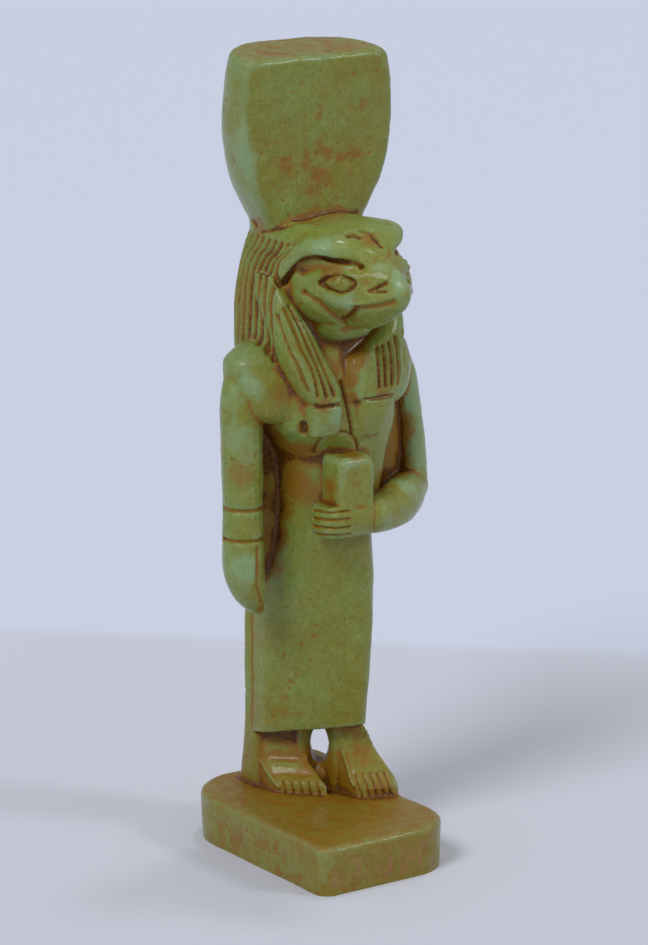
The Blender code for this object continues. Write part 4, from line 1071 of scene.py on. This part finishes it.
def stains_and_painted_light(mesh):
    """Store what the material needs at each vertex, as attributes.

    They are high (bluer glaze and painted highlights), dirt (with painted shade at some stained places),
    deep (rust and dark specks, with painted shade at some stained places), olive (the glaze's tone) and
    scratched.
    """
    co, normals = read_vertices(mesh)
    depth = {rounds: hollow(mesh, rounds) for rounds in (BROAD, MIDDLE, FINE)}
    stain_and_shade_spots, tints_and_highlights = near_places(co, STAINS_AND_PAINTED_SHADE), near_places(co, BLUE_TINTS_AND_HIGHLIGHTS)
    low = 1 - smooth_share(co[:, 2], PLINTH_HEIGHT, PLINTH_HEIGHT + LOW_REACH)
    upward = smooth_share(normals[:, 2], *UPWARD)
    on_plinth = upward * (co[:, 2] < PLINTH_HEIGHT + PLINTH_MARGIN)
    on_crown = upward * (co[:, 2] > FIGURE_HEIGHT)
    dirt = FILM + LOW_DIRT * low + PLINTH_DIRT * on_plinth + CROWN_DIRT * on_crown
    for rounds, from_depth, span, strength in DIRT_HOLLOWS:
        dirt += strength * np.clip(depth[rounds] - from_depth, 0, span)
    gathered = ((depth[BROAD], RUST_BROAD), (stain_and_shade_spots, RUST_AND_SHADE_SPOTS), (depth[FINE], RUST_FINE))
    # Rust, with painted shade from the stained places that sit in shade.
    rust = sum(strength * (values - first) for values, (first, strength) in gathered)
    # The ridges take the bluer glaze and a painted highlight.
    ridge_start, ridge_strength, ridge_most = RIDGE_TINT_AND_HIGHLIGHT
    ridges = np.clip(ridge_strength * (-depth[BROAD] - ridge_start), 0, ridge_most)
    all_over, facing, near_feet = OLIVE_SHARES
    forward = np.clip(-normals[:, 1], 0, 1)
    front = smooth_share(-co[:, 1], *(PLINTH_DEPTH / 2 - behind for behind in SCRATCH_DEPTHS))
    edge = np.minimum(smooth_share(co[:, 2], *SCRATCH_FROM), 1 - smooth_share(co[:, 2], *SCRATCH_TO))
    # The bluer glaze, with painted highlights among it.
    store(mesh, "high", ridges + tints_and_highlights)
    # The dirt also takes the stained places, some of which are painted shade.
    store(mesh, "dirt", np.clip(np.maximum(dirt, stain_and_shade_spots), 0, 1))
    store(mesh, "deep", np.clip(rust, 0, 1))
    store(mesh, "olive", np.clip(all_over + facing * forward + near_feet * low, 0, 1))
    store(mesh, "scratched", front * edge)


def colour_sockets(sockets):
    """Those sockets of a mix node that carry a colour."""
    return [socket for socket in sockets if socket.type == "RGBA"]


def glaze():
    """Olive and green glaze, bluer on the high places and painted lighter there as highlight, with ochre,
    rust and dark dirt in the hollows, and painted shade at some stained places.
    """
    surface = bpy.data.materials.new("glazed_stone")
    surface.use_nodes = True
    tree = surface.node_tree
    nodes, links = tree.nodes, tree.links
    shader = nodes["Principled BSDF"]
    where = nodes.new("ShaderNodeTexCoord")

    def value_noise(scale, detail, roughness):
        node = nodes.new("ShaderNodeTexNoise")
        node.inputs["Scale"].default_value = scale
        node.inputs["Detail"].default_value = detail
        node.inputs["Roughness"].default_value = roughness
        links.new(where.outputs["Object"], node.inputs["Vector"])
        return node.outputs["Fac"]

    def strokes():
        """Noise drawn out upright, as scratches."""
        stretch = nodes.new("ShaderNodeMapping")
        stretch.inputs["Scale"].default_value = STROKE_STRETCH
        stretch.inputs["Rotation"].default_value = STROKE_TURN
        links.new(where.outputs["Object"], stretch.inputs["Vector"])
        scale, detail = STROKE_NOISE
        node = nodes.new("ShaderNodeTexNoise")
        node.inputs["Scale"].default_value = scale
        node.inputs["Detail"].default_value = detail
        links.new(stretch.outputs["Vector"], node.inputs["Vector"])
        return node.outputs["Fac"]

    def spread(value, low, high, to_low=0.0, to_high=1.0):
        node = nodes.new("ShaderNodeMapRange")
        node.inputs["From Min"].default_value = low
        node.inputs["From Max"].default_value = high
        node.inputs["To Min"].default_value = to_low
        node.inputs["To Max"].default_value = to_high
        links.new(value, node.inputs["Value"])
        return node.outputs["Result"]

    def math_node(operation, first, second):
        node = nodes.new("ShaderNodeMath")
        node.operation = operation
        node.use_clamp = True
        links.new(first, node.inputs[0])
        links.new(second, node.inputs[1])
        return node.outputs["Value"]

    def blend(share, under, over):
        node = nodes.new("ShaderNodeMix")
        node.data_type = "RGBA"
        links.new(share, node.inputs["Factor"])
        for socket, value in zip(colour_sockets(node.inputs), (under, over)):
            if isinstance(value, tuple):
                socket.default_value = (*value, 1.0)
            else:
                links.new(value, socket)
        return colour_sockets(node.outputs)[0]

    def attribute(name):
        node = nodes.new("ShaderNodeAttribute")
        node.attribute_name = name
        return node.outputs["Fac"]

    def patchy(name, scale, low, high, most):
        """An attribute broken up by noise: it shows where the sum of the two goes from low to high."""
        mixed = nodes.new("ShaderNodeMath")
        mixed.operation = "ADD"
        links.new(attribute(name), mixed.inputs[0])
        links.new(value_noise(scale, *BROKEN_NOISE), mixed.inputs[1])
        return spread(mixed.outputs["Value"], low, high, 0.0, most)

    def shown(noise_layer):
        settings, limits = noise_layer
        return spread(value_noise(*settings), *limits)

    olive = math_node("ADD", attribute("olive"), shown(PATCH_NOISE))
    colour = blend(olive, GREEN, OLIVE)
    colour = blend(shown(PALE_NOISE), colour, PALE)
    colour = blend(shown(SHADE_NOISE), colour, SHADE)
    # Lighter turquoise: the glaze's bluer tint, with painted highlights on the ridges and the listed places.
    colour = blend(patchy("high", *TINT_AND_HIGHLIGHT_PATCHES), colour, TURQUOISE_AND_HIGHLIGHT)
    dirt = patchy("dirt", *DIRT_PATCHES)
    colour = blend(math_node("MAXIMUM", dirt, shown(SMEAR_NOISE)), colour, OCHRE)
    # Rust-brown in the hollows and the stained places, some of it painted shade.
    colour = blend(patchy("deep", *RUST_PATCHES), colour, RUST_AND_PAINTED_SHADE)
    specks = math_node("MULTIPLY", spread(attribute("deep"), *SPECK_PLACES), shown(SPECK_NOISE))
    colour = blend(specks, colour, DARK)
    scratches = math_node("MULTIPLY", attribute("scratched"), spread(strokes(), *STROKE_RANGE))
    colour = blend(scratches, colour, BRICK)
    links.new(colour, shader.inputs["Base Color"])
    links.new(spread(dirt, 0.0, 1.0, *ROUGHNESS), shader.inputs["Roughness"])
    shader.inputs["Specular IOR Level"].default_value = SPECULAR
    shader.inputs["Coat Weight"].default_value = COAT
    shader.inputs["Coat Roughness"].default_value = COAT_ROUGHNESS
    bump = nodes.new("ShaderNodeBump")
    bump.inputs["Strength"].default_value = BUMP_STRENGTH
    bump.inputs["Distance"].default_value = BUMP_HEIGHT
    links.new(value_noise(*BUMP_NOISE), bump.inputs["Height"])
    links.new(bump.outputs["Normal"], shader.inputs["Normal"])
    return surface


def plain(name, colour, roughness):
    surface = bpy.data.materials.new(name)
    surface.use_nodes = True
    shader = surface.node_tree.nodes["Principled BSDF"]
    shader.inputs["Base Color"].default_value = (*colour, 1.0)
    shader.inputs["Roughness"].default_value = roughness
    return surface


def build_floor():
    """A pale table top, and the backdrop that meets it at the photograph's horizon."""
    bm = bmesh.new()
    half = FLOOR_SIZE / 2
    corners = ((-half, -half, 0.0), (half, -half, 0.0), (half, half, 0.0), (-half, half, 0.0))
    bm.faces.new([bm.verts.new(corner) for corner in corners])
    mesh = bpy.data.meshes.new("floor")
    bm.to_mesh(mesh)
    bm.free()
    surface = plain("floor", FLOOR_COLOUR, FLOOR_ROUGHNESS)
    nodes, links = surface.node_tree.nodes, surface.node_tree.links
    where = nodes.new("ShaderNodeTexCoord")
    toward = nodes.new("ShaderNodeVectorMath")
    toward.operation = "DOT_PRODUCT"
    toward.inputs[1].default_value = HORIZON_DIRECTION
    links.new(where.outputs["Object"], toward.inputs[0])
    beyond = nodes.new("ShaderNodeMapRange")
    beyond.inputs["From Min"].default_value = HORIZON_DISTANCE - HORIZON_BLUR
    beyond.inputs["From Max"].default_value = HORIZON_DISTANCE + HORIZON_BLUR
    links.new(toward.outputs["Value"], beyond.inputs["Value"])
    mix = nodes.new("ShaderNodeMix")
    mix.data_type = "RGBA"
    links.new(beyond.outputs["Result"], mix.inputs["Factor"])
    for socket, colour in zip(colour_sockets(mix.inputs), (FLOOR_COLOUR, BACKDROP_COLOUR)):
        socket.default_value = (*colour, 1.0)
    links.new(colour_sockets(mix.outputs)[0], nodes["Principled BSDF"].inputs["Base Color"])
    mesh.materials.append(surface)
    floor = bpy.data.objects.new("floor", mesh)
    bpy.context.scene.collection.objects.link(floor)


def build_lights():
    world = bpy.data.worlds.new("studio")
    bpy.context.scene.world = world
    world.use_nodes = True
    sky = world.node_tree.nodes["Background"]
    sky.inputs["Color"].default_value = (*SKY_COLOUR, 1.0)
    sky.inputs["Strength"].default_value = SKY_STRENGTH
    for name, direction, strength, angle in SUNS:
        data = bpy.data.lights.new(name, "SUN")
        data.energy = strength
        data.angle = angle
        light = bpy.data.objects.new(name, data)
        bpy.context.scene.collection.objects.link(light)
        light.rotation_euler = Vector(direction).to_track_quat("Z", "Y").to_euler()


def build_camera():
    data = bpy.data.cameras.new("camera")
    data.lens = LENS
    data.sensor_width = SENSOR_WIDTH
    data.shift_x, data.shift_y = SHIFT
    data.clip_start = NEAR_CLIP
    camera = bpy.data.objects.new("camera", data)
    bpy.context.scene.collection.objects.link(camera)
    level = math.cos(ELEVATION)
    back = Vector((level * math.sin(AZIMUTH), -level * math.cos(AZIMUTH), math.sin(ELEVATION)))
    camera.location = AIM + back * DISTANCE
    camera.rotation_euler = back.to_track_quat("Z", "Y").to_euler()
    bpy.context.scene.camera = camera


forms = bpy.data.collections.new("forms")
bpy.context.scene.collection.children.link(forms)
build_plinth()
build_body()
build_arms()
build_head()
bpy.context.view_layer.update()
mesh = fuse("carved", ball("leg_gap", *LEG_GAP))
carve(mesh, on_both_sides(SOCKET_LINES))
face_grooves = on_both_sides(FACE_LINES) + placed(FOREHEAD_LINES)
carve(mesh, wig_grooves() + face_grooves + limb_grooves() + placed(JOIN_LINES))
carve(mesh, eyeballs())
relief(mesh)
mesh = applied(mesh, thinned)
for form in list(forms.objects):
    bpy.data.objects.remove(form)
bpy.data.collections.remove(forms)

stains_and_painted_light(mesh)
statue = bpy.data.objects.new("glazed_statue", mesh)
bpy.context.scene.collection.objects.link(statue)
mesh.materials.clear()
mesh.materials.append(glaze())
mesh.shade_smooth()
mesh.set_sharp_from_angle(angle=SHARP_ANGLE)
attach(statue, "root")
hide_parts("horus_statue")

build_floor()
build_lights()
build_camera()
bpy.context.scene.view_settings.view_transform = "Standard"
